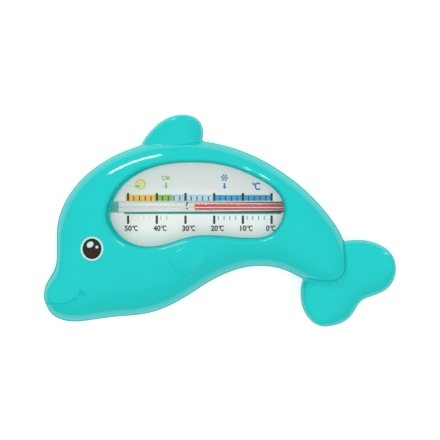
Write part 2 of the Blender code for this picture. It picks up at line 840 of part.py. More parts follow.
def degrees_to_x(degrees):
    """Where a temperature stands along the scale."""
    return SCALE_0_X + (SCALE_50_X - SCALE_0_X) * degrees / 50


def make_colour_bands(plate):
    """The four printed colours of the scale, let into the plate."""
    bounds = [degrees_to_x(degrees) for degrees in BAND_BOUNDS_DEGREES]
    names = ("band_hot", "band_ideal", "band_cool", "band_cold")
    inks = ("ink_amber", "ink_green", "ink_pale_blue", "ink_blue")
    low, high = BAND_LOW_Y, BAND_LOW_Y + BAND_HEIGHT
    pocket = rectangle(bounds[0] - INK_GAP, bounds[-1] + INK_GAP, low - INK_GAP, high + INK_GAP)
    cut(plate, prism("ink_pocket", pocket, PLATE_TOP - INK_POCKET, REACH))
    bottom = PLATE_TOP - INK_POCKET + INK_GAP
    for name, ink, start, end in zip(names, inks, bounds, bounds[1:]):
        left = start + (0 if name == names[0] else INK_GAP / 2)
        right = end - (0 if name == names[-1] else INK_GAP / 2)
        band = prism(name, rectangle(left, right, low, high), bottom, bottom + INK_THICKNESS)
        finish(band, ink)
    finish(plate, "plate_white")


def make_glass_tube():
    """The blown tube and its bulb in one piece, hollow, with its bore open at the far tip."""
    outside = []
    for degrees in (0, 30, 60, 90):
        rise = math.sin(math.radians(degrees))
        inset = TIP_LENGTH * (1 - math.cos(math.radians(90 - degrees)))
        outside.append((TUBE_START_X + inset, TIP_RADIUS + (TUBE_RADIUS - TIP_RADIUS) * rise))
    shoulder = BULB_START_X - (BULB_RADIUS - TUBE_RADIUS)
    outside += [(shoulder, TUBE_RADIUS), (BULB_START_X, BULB_RADIUS)]
    outside += bulb_end(BULB_RADIUS)
    glass = turned("glass_tube", outside, 24)
    inner = BULB_RADIUS - GLASS_WALL
    bore = [(-REACH, BORE_RADIUS), (BULB_START_X - inner / 2, BORE_RADIUS), (BULB_START_X, inner)]
    bore += bulb_end(inner)
    cut(glass, turned("bore", bore, 16))
    return finish(glass, "tube_glass")


def bulb_end(radius):
    """The rounded end of the bulb, or of its hollow, as (x, radius) from the side to the tip."""
    centre = BULB_END_X - BULB_RADIUS
    found = []
    for k in range(5):
        angle = math.radians(20 * k)
        found.append((centre + radius * math.sin(angle), radius * math.cos(angle)))
    return found


def make_spirit():
    """The red spirit: the bulb's filling and the column, which stands at about 27 degrees."""
    column = BORE_RADIUS - SPIRIT_CLEARANCE
    inner = BULB_RADIUS - GLASS_WALL - SPIRIT_CLEARANCE
    shoulder = BULB_START_X + SPIRIT_CLEARANCE
    profile = [(degrees_to_x(SPIRIT_TOP_DEGREES), column), (shoulder - inner / 2, column)]
    profile.append((shoulder, inner))
    profile += bulb_end(inner)
    return finish(turned("red_spirit", profile, 12), "spirit_red")


def make_cushion():
    """The silicone sleeve that holds the tube's far end in its cradle."""
    start = TUBE_START_X + 1.0
    end = start + CUSHION_LENGTH
    inner = TUBE_RADIUS + CUSHION_FIT
    outer = inner + CUSHION_WALL
    sleeve = turned("tube_cushion", [(start, outer), (end, outer)], 24)
    cut(sleeve, turned("sleeve_bore", [(-REACH, inner), (REACH, inner)], 24))
    return finish(sleeve, "silicone")


def make_stem_seal():
    """The grommet that seals the tube where it passes through the bulkhead."""
    half = BULKHEAD_THICKNESS / 2 + CUSHION_FIT
    neck = seal_neck_radius()
    flange = neck + SEAL_FLANGE_HEIGHT
    near, far = BULKHEAD_X - half, BULKHEAD_X + half
    profile = [(near - SEAL_FLANGE, flange), (near, flange), (near, neck)]
    profile += [(far, neck), (far, flange), (far + SEAL_FLANGE, flange)]
    seal = turned("stem_seal", profile, 24)
    inner = TUBE_RADIUS + CUSHION_FIT
    cut(seal, turned("seal_bore", [(-REACH, inner), (REACH, inner)], 24))
    return finish(seal, "silicone")


def main():
    clear_scene()
    outer = outer_form("outer")
    surface = Surface(outer)
    make_front_shell(outer, surface)
    make_rear_shell(outer)
    make_lens()
    plate = make_scale_plate()
    make_colour_bands(plate)
    make_glass_tube()
    make_spirit()
    make_cushion()
    make_stem_seal()
    make_eye(surface)
    bpy.data.objects.remove(outer)


main()
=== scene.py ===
"""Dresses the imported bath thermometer: fine shells, glass tube, printed scale, eye and photo table.

Sizes in this file are in millimetres unless a name says otherwise, and MM turns them into metres.
X runs from the beak to the tail, Y from the belly to the back fin, and Z out of the window.
"""

import math
from contextlib import contextmanager

import bmesh
import bpy
import numpy as np
from bpy.props import FloatProperty, FloatVectorProperty, IntProperty, PointerProperty
from mathutils import Matrix, Vector
from mathutils.bvhtree import BVHTree
from mathutils.kdtree import KDTree


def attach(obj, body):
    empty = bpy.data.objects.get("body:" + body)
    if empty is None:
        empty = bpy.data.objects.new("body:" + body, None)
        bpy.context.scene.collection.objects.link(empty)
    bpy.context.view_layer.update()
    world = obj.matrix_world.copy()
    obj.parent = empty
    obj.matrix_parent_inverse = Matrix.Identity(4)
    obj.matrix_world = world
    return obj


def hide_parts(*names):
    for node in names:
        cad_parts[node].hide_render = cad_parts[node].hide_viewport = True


bl_info = {
    "name": "Bath thermometer",
    "version": (1, 0, 0),
    "blender": (4, 5, 0),
    "location": "3D View > Sidebar > Bath thermometer",
    "description": "Dresses a dolphin bath thermometer and sets up its photo table",
    "category": "Object",
}

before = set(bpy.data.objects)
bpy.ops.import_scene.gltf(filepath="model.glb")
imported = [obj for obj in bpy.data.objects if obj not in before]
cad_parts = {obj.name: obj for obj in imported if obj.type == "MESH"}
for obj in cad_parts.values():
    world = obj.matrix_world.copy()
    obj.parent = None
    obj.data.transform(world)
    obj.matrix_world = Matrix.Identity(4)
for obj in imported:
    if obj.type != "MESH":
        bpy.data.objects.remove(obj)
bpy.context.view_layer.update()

MM = 0.001
REACH = 100.0

# Shells, from the part's source, with rounder edges on the fin and the fluke
WALL = 2.0
PARTING_HEIGHT = 12.0
PARTING_GAP = 0.3
FRONT_DEPTH, REAR_DEPTH = 15.0, 12.7
DEEPEST_AT_X, TAIL_X = -22.0, 56.0
FRONT_TAPER, REAR_TAPER = 4.6, 4.2
END_ROUND, BODY_FULLNESS = 12.0, 2.5
FIN_DEPTH, FIN_END_ROUND = 6.2, 11.0
FLUKE_DEPTH, FLUKE_END_ROUND = 6.6, 7.5
FIN_FULLNESS = 2.5
CLEARANCE = 0.3

# Window
WINDOW_FLARE, WINDOW_FLARE_AT_BEAK, WINDOW_DROP = 0.65, 1.05, 0.45
RIM_ROUND = 2.2
RIM_LIFT = 0.12
LENS_LAP = 1.5
CURB_WALL = 1.6

# Tube and its fittings
TUBE_RADIUS, TUBE_Y, TUBE_HEIGHT = 2.3, 6.0, 13.5
TUBE_START_X = -57.0
TIP_RADIUS, TIP_LENGTH = 1.2, 1.4
BULB_RADIUS, BULB_START_X, BULB_END_X = 2.8, 35.4, 40.6
GLASS_WALL, BORE_RADIUS, HAIR_RADIUS = 0.7, 0.85, 0.3
TROUGH_CLEARANCE = 0.25
CUSHION_LENGTH, CUSHION_WALL, CUSHION_FIT = 3.4, 1.5, 0.15
BULKHEAD_X, BULKHEAD_THICKNESS, SEAL_NECK = 33.3, 1.4, 0.9
SPIRIT_TOP_DEGREES = 26.7
# Height of the painted highlight, a pale line painted along the top of the red column
PAINTED_HIGHLIGHT_Y = 5.8

# Scale
PLATE_TOP, PLATE_THICKNESS = 14.2, 1.6
LENS_BOTTOM, LENS_TOP = 16.1, 17.5
SCALE_50_X, SCALE_0_X = -40.8, 22.9

# Rear shell fittings
POST_RADIUS = 2.2
PLATE_POSTS = ((-34.0, 16.0), (8.0, 19.0), (-33.0, -5.0), (14.0, -2.5))
PIN_RADIUS, PIN_REACH, BOSS_WALL = 1.5, 5.0, 1.6
WELD_PINS = ((-63.0, -14.0), (-45.0, -32.0), (4.0, -15.5), (44.5, -16.0))
CRADLE_THICKNESS, CRADLE_WIDTH, CRADLE_BELOW_AXIS = 2.0, 10.0, 1.7
CRADLE_BEFORE_BULB_END = 3.0
END_REST_X, END_REST_THICKNESS = -47.375, 4.65
RAIL_X, RAIL_Y = (-42.2, 26.6), (1.9, 3.4)
SLOT_WIDTH, SLOT_LENGTH, SLOT_PITCH, SLOT_COUNT = 1.6, 9.0, 3.2, 4
SLOT_FIRST_AT = (37.0, -11.0)

# Face relief
FLIPPER_DEPTH, FLIPPER_END_ROUND, FLIPPER_PROUD = 1.8, 6.0, 0.6
MOUTH_RADIUS, MOUTH_SINK, GROOVE_FALL = 1.15, 0.75, 3.0
EYE_AT = (-56.2, -12.4)
EYE_RADII, PUPIL_RADII = (5.05, 5.35), (4.1, 4.45)
EYE_SEAT, EYE_THICKNESS = 1.2, 1.2
PUPIL_POCKET, PUPIL_THICKNESS, INK_GAP = 0.6, 0.5, 0.2
SEAT_FIT, POCKET_FIT, GLINT_FIT = 0.04, 0.05, 0.02
GLINTS = (
    ("eye_glint_large", (-0.8, 1.85), (1.6, 1.2), 35.0),
    ("eye_glint_small", (2.15, 0.75), (0.62, 0.62), 0.0),
)

# Outlines. Each station row is a point of the upper edge and the point of the lower edge that
# faces it, and the first and last rows are the two tips.
BODY_STATIONS = (
    (-78.1, -33.5, -78.1, -33.5),
    (-77.3, -28.6, -76.9, -38.0),
    (-75.2, -24.7, -74.5, -41.7),
    (-73.1, -20.5, -70.5, -44.0),
    (-72.4, -13.5, -64.6, -44.9),
    (-72.5, -5.0, -57.0, -44.2),
    (-70.9, 3.5, -47.6, -42.9),
    (-65.8, 13.3, -38.0, -42.1),
    (-56.5, 22.8, -29.0, -40.4),
    (-44.0, 30.2, -20.5, -36.9),
    (-29.0, 34.6, -12.5, -32.2),
    (-12.5, 35.6, -4.5, -27.1),
    (3.0, 33.1, 4.0, -23.0),
    (17.0, 27.8, 12.0, -20.7),
    (29.0, 20.6, 19.5, -20.3),
    (39.0, 12.5, 26.5, -21.3),
    (46.8, 4.1, 32.5, -23.7),
    (52.1, -3.2, 38.0, -26.4),
    (55.1, -9.5, 43.0, -28.0),
    (56.4, -15.5, 48.0, -28.3),
    (56.4, -20.5, 52.2, -27.0),
    (55.0, -24.4, 55.0, -24.4),
)
FIN_STATIONS = (
    (-38.0, 24.0, -8.6, 24.0),
    (-36.4, 30.8, -8.3, 31.0),
    (-34.8, 34.3, -7.9, 35.0),
    (-32.5, 37.8, -7.5, 38.6),
    (-29.4, 41.3, -7.9, 41.8),
    (-25.8, 44.2, -9.3, 44.4),
    (-21.9, 46.1, -12.1, 46.3),
    (-16.8, 47.0, -16.8, 47.0),
)
FLUKE_STATIONS = (
    (77.4, -17.2, 77.4, -17.2),
    (78.2, -22.0, 75.3, -13.8),
    (76.8, -27.3, 71.5, -11.0),
    (72.8, -31.5, 66.5, -9.2),
    (67.2, -33.8, 60.8, -8.6),
    (63.2, -35.6, 54.0, -9.6),
    (60.9, -38.4, 46.5, -13.6),
    (59.2, -41.2, 40.0, -20.0),
    (56.8, -43.9, 36.6, -27.0),
    (53.0, -46.0, 35.9, -33.5),
    (48.8, -47.0, 36.9, -39.0),
    (45.6, -47.1, 39.6, -43.6),
    (42.6, -46.1, 42.6, -46.1),
)
FLIPPER_STATIONS = (
    (-22.4, -17.3, -22.4, -17.3),
    (-21.2, -14.8, -21.3, -20.4),
    (-18.2, -12.4, -19.3, -23.2),
    (-14.5, -11.1, -16.9, -25.0),
    (-10.5, -11.0, -14.4, -25.6),
    (-7.2, -11.8, -11.9, -24.6),
    (-5.4, -13.6, -9.4, -21.8),
    (-5.0, -16.2, -7.0, -19.2),
    (-5.6, -18.0, -5.6, -18.0),
)
WINDOW_OUTLINE = (
    (-48.5, 2.7),
    (-46.9, -3.0),
    (-41.9, -8.4),
    (-34.0, -11.3),
    (-27.0, -11.0),
    (-19.8, -9.0),
    (-12.5, -7.0),
    (-4.0, -6.4),
    (5.5, -7.1),
    (13.4, -7.6),
    (18.7, -7.2),
    (23.4, -5.2),
    (26.7, -0.9),
    (28.2, 5.0),
    (26.9, 10.3),
    (23.0, 14.9),
    (16.6, 19.0),
    (8.0, 22.9),
    (-1.0, 25.3),
    (-11.0, 26.1),
    (-21.0, 25.6),
    (-29.5, 23.8),
    (-37.0, 20.4),
    (-43.0, 15.4),
    (-47.0, 9.0),
)
MOUTH_LINE = (
    (-78.6, -35.4), (-75.5, -36.7), (-71.5, -37.6), (-67.5, -37.0), (-64.0, -35.1), (-61.1, -32.7),
)
CHEEK_CREASE = ((-61.9, -30.3), (-60.6, -32.7), (-59.1, -35.6))

# Printed marks. Upper ticks run across the colours and lower ticks hang under the tube.
INK_HEIGHT = 0.03
UPPER_MAJOR = (8.7, 12.2)
UPPER_MINOR = (8.8, 10.8)
LOWER_MAJOR = (-1.5, 2.2)
LOWER_MINOR = (0.25, 2.1)
FIGURES_Y = (-4.7, -2.2)
FIGURE_PLACE = (1.5, 3.15)
FIGURE_PLACES = {0: (2.5, 1.55), 10: (1.2, 2.85)}
SIGN_START, SIGN_END = 0.2, 2.6
FIGURE_STROKE, SIGN_STROKE = 0.3, 0.42
LOWER_MINOR_SHIFT = -0.7
SHOWN_LOWER_MINORS = (48, 46, 44, 42, 38, 36, 18, 16, 14, 12, 8, 6, 4, 2)

# Stage. The table glows a little for the rays that show the background.
TABLE_WHITE, TABLE_GLOW = 0.86, 0.45
TABLE_METRES, TABLE_DROP = 8.0, 0.05
LAMP_METRES, SIDE_SHARE = 1.0, 0.45
CAMERA_Y, SENSOR_WIDTH = 0.22, 36.0


def paint(red, green, blue):
    """A colour picked as 0 to 255 on screen, as the linear values that Blender works in."""
    found = []
    for value in (red, green, blue):
        share = value / 255
        found.append(share / 12.92 if share <= 0.04045 else ((share + 0.055) / 1.055) ** 2.4)
    return tuple(found)


# ---------------------------------------------------------------- settings


def colour(name, description, *picked):
    return FloatVectorProperty(
        name=name, description=description, subtype="COLOR", size=3, min=0, max=1, default=paint(*picked)
    )


def length(name, description, default):
    return FloatProperty(
        name=name, description=description, subtype="DISTANCE", unit="LENGTH", default=default * MM
    )


class ThermometerColours(bpy.types.PropertyGroup):
    teal: colour("Teal", "Colour of the moulded shells", 0, 203, 199)
    plate: colour("Plate", "Colour of the scale plate", 242, 240, 238)
    amber: colour("Amber", "Ink of the hot band", 255, 192, 18)
    green: colour("Green", "Ink of the bathing band", 118, 196, 30)
    pale_blue: colour("Pale blue", "Ink of the cool band", 168, 212, 236)
    blue: colour("Blue", "Ink of the cold band", 0, 156, 204)
    tick: colour("Tick", "Ink of the long ticks", 22, 14, 16)
    figure: colour("Figure", "Ink of the figures", 18, 18, 20)
    spirit: colour("Spirit", "Dye of the red column", 216, 36, 34)
    pupil: colour("Pupil", "Print of the eye's pupil", 42, 15, 6)
    eye_ring: colour("Eye ring", "Print round the eye's pupil", 182, 224, 218)


class ThermometerShape(bpy.types.PropertyGroup):
    loft_steps: IntProperty(
        name="Loft steps", description="Sections between two stations of the body", default=8, min=2, max=12
    )
    tick_width: length("Long tick", "Width of a long tick", 1.0)
    minor_width: length("Short tick", "Width of a short tick", 0.52)
    seam_soften: length("Joint round", "How far the joints of fin and fluke are softened", 1.3)


class ThermometerStudio(bpy.types.PropertyGroup):
    camera_distance: FloatProperty(
        name="Camera distance", description="From the camera to the middle of the part",
        subtype="DISTANCE", unit="LENGTH", default=1.0878,
    )
    focal_length: FloatProperty(
        name="Focal length", description="Lens of the camera", subtype="DISTANCE", unit="CAMERA", default=200.0
    )
    fill_light: FloatProperty(
        name="Fill light", description="Power of the overhead softbox", unit="POWER", default=5.4
    )
    room_light: FloatProperty(
        name="Room light", description="Strength of the even light from the room", default=0.5
    )
    key_light: FloatProperty(name="Key light", description="Power of the key strip", unit="POWER", default=2.2)


# ---------------------------------------------------------------- curves and lofts


def through(rows, steps, closed=False):
    """A natural cubic spline through the rows, with steps samples in each span."""
    points = np.array(rows, float)
    lap = 4 if closed else 0
    if closed:
        points = np.vstack([points[-lap:], points, points[:lap]])
    moves = np.linalg.norm(np.diff(points, axis=0), axis=1)
    count = len(points)
    system = np.eye(count)
    bend = np.zeros_like(points)
    for i in range(1, count - 1):
        before, after = moves[i - 1], moves[i]
        system[i, i - 1 : i + 2] = before, 2 * (before + after), after
        bend[i] = 6 * ((points[i + 1] - points[i]) / after - (points[i] - points[i - 1]) / before)
    bend = np.linalg.solve(system, bend)
    first, last = lap, count - 1 - lap + (1 if closed else 0)
    sampled = []
    for i in range(first, last):
        for k in range(steps):
            b = k / steps
            a = 1 - b
            curve = (a**3 - a) * bend[i] + (b**3 - b) * bend[i + 1]
            sampled.append(a * points[i] + b * points[i + 1] + curve * moves[i] ** 2 / 6)
    if not closed:
        sampled.append(points[-1])
    return np.array(sampled)


def turned_right(directions):
    """Each 2-D direction, made a unit vector and turned a quarter turn clockwise."""
    lengths = np.linalg.norm(directions, axis=1, keepdims=True)
    unit = directions / np.maximum(lengths, 1e-9)
    return np.stack([unit[:, 1], -unit[:, 0]], axis=1)


def edges_of(stations, steps, inset, open_start):
    """The two edges of a form and its half width, moved in by inset and rounded at the tips."""
    rows = np.array(stations, float)
    left, right = rows[:, :2], rows[:, 2:]
    head = 0 if open_start else 2
    before = np.hstack([right[head:0:-1], left[head:0:-1]])
    after = np.hstack([right[-2:-4:-1], left[-2:-4:-1]])
    sampled = through(np.vstack([before, rows, after]), steps)
    left, right = sampled[:, :2], sampled[:, 2:]
    across = left - right
    across /= np.maximum(np.linalg.norm(across, axis=1, keepdims=True), 1e-9)
    left_in = left + turned_right(np.gradient(left, axis=0)) * inset
    right_in = right - turned_right(np.gradient(right, axis=0)) * inset
    half = np.sum((left_in - right_in) * across, axis=1) / 2
    keep = slice(head * steps, len(sampled) - 2 * steps)
    return left_in[keep], right_in[keep], half[keep]


def body_depths(x, thinner):
    """The body's depth in front of and behind the parting line, which tapers to both ends."""
    share = ((x - DEEPEST_AT_X) / (TAIL_X - DEEPEST_AT_X)) ** 2
    return FRONT_DEPTH - FRONT_TAPER * share - thinner, REAR_DEPTH - REAR_TAPER * share - thinner


def even_depths(depth):
    return lambda x, thinner: (depth - thinner, depth - thinner)


def pillow_rings(stations, depths, end_round, fullness, steps, around, inset=0.0, open_start=False):
    """Superellipse sections between two facing edges, closed to a point at each end."""
    left, right, half = edges_of(stations, steps, inset, open_start)
    keep = half > max(inset / 2, 0.02)
    if open_start:
        keep[0] = True
    left, right, half = left[keep], right[keep], half[keep]
    front, rear = around
    angles = [math.pi * k / front for k in range(front + 1)]
    angles += [math.pi + math.pi * k / rear for k in range(1, rear)]
    rings = []
    for top, bottom, width in zip(left, right, half):
        middle, reach = (top + bottom) / 2, (top - bottom) / 2
        roundness = math.sqrt(1 - (1 - min(width / end_round, 1)) ** 2)
        ahead, behind = depths(middle[0], inset)
        ring = []
        for angle in angles:
            across = math.copysign(abs(math.cos(angle)) ** (2 / fullness), math.cos(angle))
            rise = abs(math.sin(angle)) ** (2 / fullness) * roundness
            rise *= ahead if math.sin(angle) > 0 else -behind
            ring.append((*(middle + reach * across), PARTING_HEIGHT + rise))
        rings.append(ring)
    tips = []
    for row, station in ((0, stations[0]), (-1, stations[-1])):
        middle = (left[row] + right[row]) / 2
        tip = middle if inset or (open_start and row == 0) else station[:2]
        tips.append([(*tip, PARTING_HEIGHT)] * len(angles))
    return [tips[0], *rings, tips[1]]


def body_rings(steps, around, inset=0.0):
    return pillow_rings(BODY_STATIONS, body_depths, END_ROUND, BODY_FULLNESS, steps, around, inset)


def fin_rings(steps, around, inset=0.0):
    return pillow_rings(
        FIN_STATIONS, even_depths(FIN_DEPTH), FIN_END_ROUND, FIN_FULLNESS, steps, around, inset,
        open_start=True,
    )


def fluke_rings(steps, around, inset=0.0):
    return pillow_rings(
        FLUKE_STATIONS, even_depths(FLUKE_DEPTH), FLUKE_END_ROUND, FIN_FULLNESS, steps, around, inset
    )


class Face:
    """The body's face, asked for its height and its slope from above."""

    def __init__(self):
        rings = body_rings(6, (30, 12))
        count = len(rings[0])
        points = [Vector(p) for ring in rings for p in ring]
        faces = []
        for row in range(len(rings) - 1):
            for k in range(count):
                a, b = row * count + k, row * count + (k + 1) % count
                faces.append((a, b, b + count, a + count))
        self.tree = BVHTree.FromPolygons(points, faces)

    def look(self, x, y):
        hit, normal, _, _ = self.tree.ray_cast(Vector((x, y, REACH)), Vector((0, 0, -1)))
        if not hit:
            return PARTING_HEIGHT, Vector((0, 0, 1))
        return hit.z, normal if normal.z > 0 else -normal

    def height(self, x, y):
        return self.look(x, y)[0]

    def place(self, x, y, lift=0.0):
        """The move, in metres, that stands something on the face at x, y, square to it."""
        height, normal = self.look(x, y)
        turn = Vector((0, 0, 1)).rotation_difference(normal).to_matrix().to_4x4()
        return Matrix.Translation(Vector((x, y, height + lift)) * MM) @ turn


# ---------------------------------------------------------------- modelling steps


def deselect():
    bpy.ops.object.select_all(action="DESELECT")


def pick(obj):
    """Makes obj the one selected and active object."""
    deselect()
    obj.select_set(True)
    bpy.context.view_layer.objects.active = obj
    return obj


def named(name):
    obj = bpy.context.active_object
    obj.name = obj.data.name = name
    return obj


@contextmanager
def editing(obj, select="SELECT"):
    pick(obj)
    bpy.ops.object.mode_set(mode="EDIT")
    bpy.ops.mesh.select_all(action=select)
    yield
    bpy.ops.object.mode_set(mode="OBJECT")


def laid_over(name, rings):
    """A grid primitive laid over rings of points, merged along its seam and closed at its ends."""
    across, along = len(rings[0]), len(rings) - 1
    deselect()
    bpy.ops.mesh.primitive_grid_add(x_subdivisions=across, y_subdivisions=along, size=1)
    obj = named(name)
    places = np.array([[*ring, ring[0]] for ring in rings], float) * MM
    obj.data.vertices.foreach_set("co", places.reshape(-1))
    with editing(obj):
        bpy.ops.mesh.remove_doubles(threshold=1e-7)
        bpy.ops.mesh.select_all(action="SELECT")
        bpy.ops.mesh.fill_holes(sides=0)
        bpy.ops.mesh.select_all(action="SELECT")
        bpy.ops.mesh.normals_make_consistent(inside=False)
    return obj


def upright(name, outline, low, high):
    """An upright solid over a 2-D outline."""
    return laid_over(name, [[(x, y, z) for x, y in outline] for z in (low, high)])


def lathed(name, profile, sides):
    """A solid of revolution about the tube's axis. The profile is (x, radius), from end to end."""
    rings = []
    for x, radius in profile:
        ring = []
        for k in range(sides):
            angle = 2 * math.pi * k / sides
            ring.append((x, TUBE_Y + radius * math.cos(angle), TUBE_HEIGHT + radius * math.sin(angle)))
        rings.append(ring)
    return laid_over(name, rings)


def round_bar(name, x, y, radius, low, high, sides=32):
    """An upright round bar from low to high."""
    deselect()
    bpy.ops.mesh.primitive_cylinder_add(
        vertices=sides, radius=radius * MM, depth=(high - low) * MM,
        location=(x * MM, y * MM, (low + high) / 2 * MM),
    )
    obj = named(name)
    settle(obj)
    return obj


def block(name, left, right, low_y, high_y, low, high):
    """A square-edged block between these limits."""
    deselect()
    bpy.ops.mesh.primitive_cube_add(
        size=1,
        location=((left + right) / 2 * MM, (low_y + high_y) / 2 * MM, (low + high) / 2 * MM),
        scale=((right - left) * MM, (high_y - low_y) * MM, (high - low) * MM),
    )
    obj = named(name)
    settle(obj)
    return obj


def settle(obj):
    """Puts the object's place, turn and size into its mesh."""
    pick(obj)
    bpy.ops.object.transform_apply(location=True, rotation=True, scale=True)


def combine(target, tool, operation):
    pick(target)
    bpy.ops.object.modifier_add(type="BOOLEAN")
    modifier = target.modifiers[-1]
    modifier.operation = operation
    modifier.solver = "EXACT"
    modifier.object = tool
    bpy.ops.object.modifier_apply(modifier=modifier.name)
    bpy.data.objects.remove(tool)
    return target


def cut(target, *tools):
    for tool in tools:
        combine(target, tool, "DIFFERENCE")


def join(target, *tools):
    for tool in tools:
        combine(target, tool, "UNION")


def merged(name, parts):
    """The parts as one object, with the meshes kept as they are."""
    deselect()
    for part in parts:
        part.select_set(True)
    bpy.context.view_layer.objects.active = parts[0]
    if len(parts) > 1:
        bpy.ops.object.join()
    return named(name)


def keep_side(obj, height, above):
    """Cuts the object flat at a height and keeps what is above or below it."""
    with editing(obj):
        bpy.ops.mesh.bisect(
            plane_co=(0, 0, height * MM), plane_no=(0, 0, 1), use_fill=True,
            clear_inner=above, clear_outer=not above,
        )
        bpy.ops.mesh.select_all(action="SELECT")
        bpy.ops.mesh.normals_make_consistent(inside=False)


def copy_of(obj, name):
    made = obj.copy()
    made.data = obj.data.copy()
    made.name = made.data.name = name
    bpy.context.scene.collection.objects.link(made)
    return made


def smooth(obj, degrees=40):
    pick(obj)
    bpy.ops.object.shade_smooth_by_angle(angle=math.radians(degrees))
    return obj


def soften_joints(obj, reach, degrees=20, repeat=8):
    """Rounds the inner corners where two forms meet."""
    bm = bmesh.new()
    bm.from_mesh(obj.data)
    corners = []
    for edge in bm.edges:
        if len(edge.link_faces) == 2 and edge.calc_face_angle_signed(0) < -math.radians(degrees):
            corners += [v.co.copy() for v in edge.verts]
    tree = KDTree(len(corners))
    for i, co in enumerate(corners):
        tree.insert(co, i)
    tree.balance()
    near = [bool(corners) and tree.find(v.co)[2] < reach for v in bm.verts]
    bm.free()
    with editing(obj, "DESELECT"):
        bpy.ops.object.mode_set(mode="OBJECT")
        obj.data.vertices.foreach_set("select", near)
        bpy.ops.object.mode_set(mode="EDIT")
        bpy.ops.mesh.vertices_smooth(factor=0.5, repeat=repeat)


def offset_outline(outline, distance):
    along = np.roll(outline, -1, axis=0) - np.roll(outline, 1, axis=0)
    return outline + turned_right(along) * distance


def ellipse(centre, radii, count, turn=0.0):
    angle = math.radians(turn)
    found = []
    for k in range(count):
        t = 2 * math.pi * k / count
        x, y = radii[0] * math.cos(t), radii[1] * math.sin(t)
        found.append((
            centre[0] + x * math.cos(angle) - y * math.sin(angle),
            centre[1] + x * math.sin(angle) + y * math.cos(angle),
        ))
    return np.array(found)


# ---------------------------------------------------------------- materials


class Nodes:
    """Short ways to add and link nodes in one tree."""

    def __init__(self, tree):
        self.tree = tree

    def feed(self, node, socket, value):
        target = node.inputs[socket]
        if isinstance(value, bpy.types.NodeSocket):
            self.tree.links.new(value, target)
        else:
            target.default_value = value

    def math(self, operation, a, b=None):
        node = self.tree.nodes.new("ShaderNodeMath")
        node.operation = operation
        self.feed(node, 0, a)
        if b is not None:
            self.feed(node, 1, b)
        return node.outputs[0]

    def mix_colour(self, share, a, b):
        node = self.tree.nodes.new("ShaderNodeMix")
        node.data_type = "RGBA"
        for socket, value in zip((node.inputs[0], node.inputs[6], node.inputs[7]), (share, a, b)):
            if isinstance(value, bpy.types.NodeSocket):
                self.tree.links.new(value, socket)
            else:
                socket.default_value = value
        return node.outputs[2]

    def noise(self, place, scale, detail=2.0, roughness=0.5):
        node = self.tree.nodes.new("ShaderNodeTexNoise")
        self.feed(node, "Vector", place)
        self.feed(node, "Scale", scale)
        self.feed(node, "Detail", detail)
        self.feed(node, "Roughness", roughness)
        return node.outputs["Fac"]

    def spread(self, value, low, high, to_low, to_high):
        node = self.tree.nodes.new("ShaderNodeMapRange")
        for socket, given in zip(range(5), (value, low, high, to_low, to_high)):
            self.feed(node, socket, given)
        return node.outputs[0]


def new_group(name, inputs, outputs):
    """An empty shader node group with these sockets, or None where it is already made."""
    if name in bpy.data.node_groups:
        return None
    group = bpy.data.node_groups.new(name, "ShaderNodeTree")
    for label, kind, value in inputs:
        socket = group.interface.new_socket(name=label, in_out="INPUT", socket_type=kind)
        if value is not None:
            socket.default_value = value
    for label, kind in outputs:
        group.interface.new_socket(name=label, in_out="OUTPUT", socket_type=kind)
    return group


def moulded_skin():
    """Group: the faint waves and orange peel of a polished moulding, and its handled patches."""
    name = "Moulded skin"
    group = new_group(
        name,
        (
            ("Place", "NodeSocketVector", None),
            ("Wave Size", "NodeSocketFloat", 60.0),
            ("Peel Size", "NodeSocketFloat", 1400.0),
            ("Peel Share", "NodeSocketFloat", 0.25),
            ("Colour", "NodeSocketColor", (1, 1, 1, 1)),
            ("Colour Drift", "NodeSocketFloat", 0.04),
            ("Roughness", "NodeSocketFloat", 0.3),
            ("Roughness Drift", "NodeSocketFloat", 0.06),
        ),
        (("Colour", "NodeSocketColor"), ("Roughness", "NodeSocketFloat"), ("Height", "NodeSocketFloat")),
    )
    if group is None:
        return bpy.data.node_groups[name]
    n = Nodes(group)
    given = group.nodes.new("NodeGroupInput").outputs
    out = group.nodes.new("NodeGroupOutput")
    waves = n.noise(given["Place"], given["Wave Size"], 1.0)
    peel = n.noise(given["Place"], given["Peel Size"], 2.0)
    patches = n.noise(given["Place"], 35.0, 3.0, 0.6)
    peel = n.math("MULTIPLY", peel, given["Peel Share"])
    n.feed(out, "Height", n.math("ADD", waves, peel))
    darker = n.math("SUBTRACT", 1.0, n.math("MULTIPLY", patches, given["Colour Drift"]))
    shade = group.nodes.new("ShaderNodeVectorMath")
    shade.operation = "SCALE"
    n.feed(shade, 0, given["Colour"])
    n.feed(shade, "Scale", darker)
    n.feed(out, "Colour", shade.outputs[0])
    drift = n.math("MULTIPLY", n.math("SUBTRACT", patches, 0.5), given["Roughness Drift"])
    n.feed(out, "Roughness", n.math("ADD", given["Roughness"], drift))
    return group


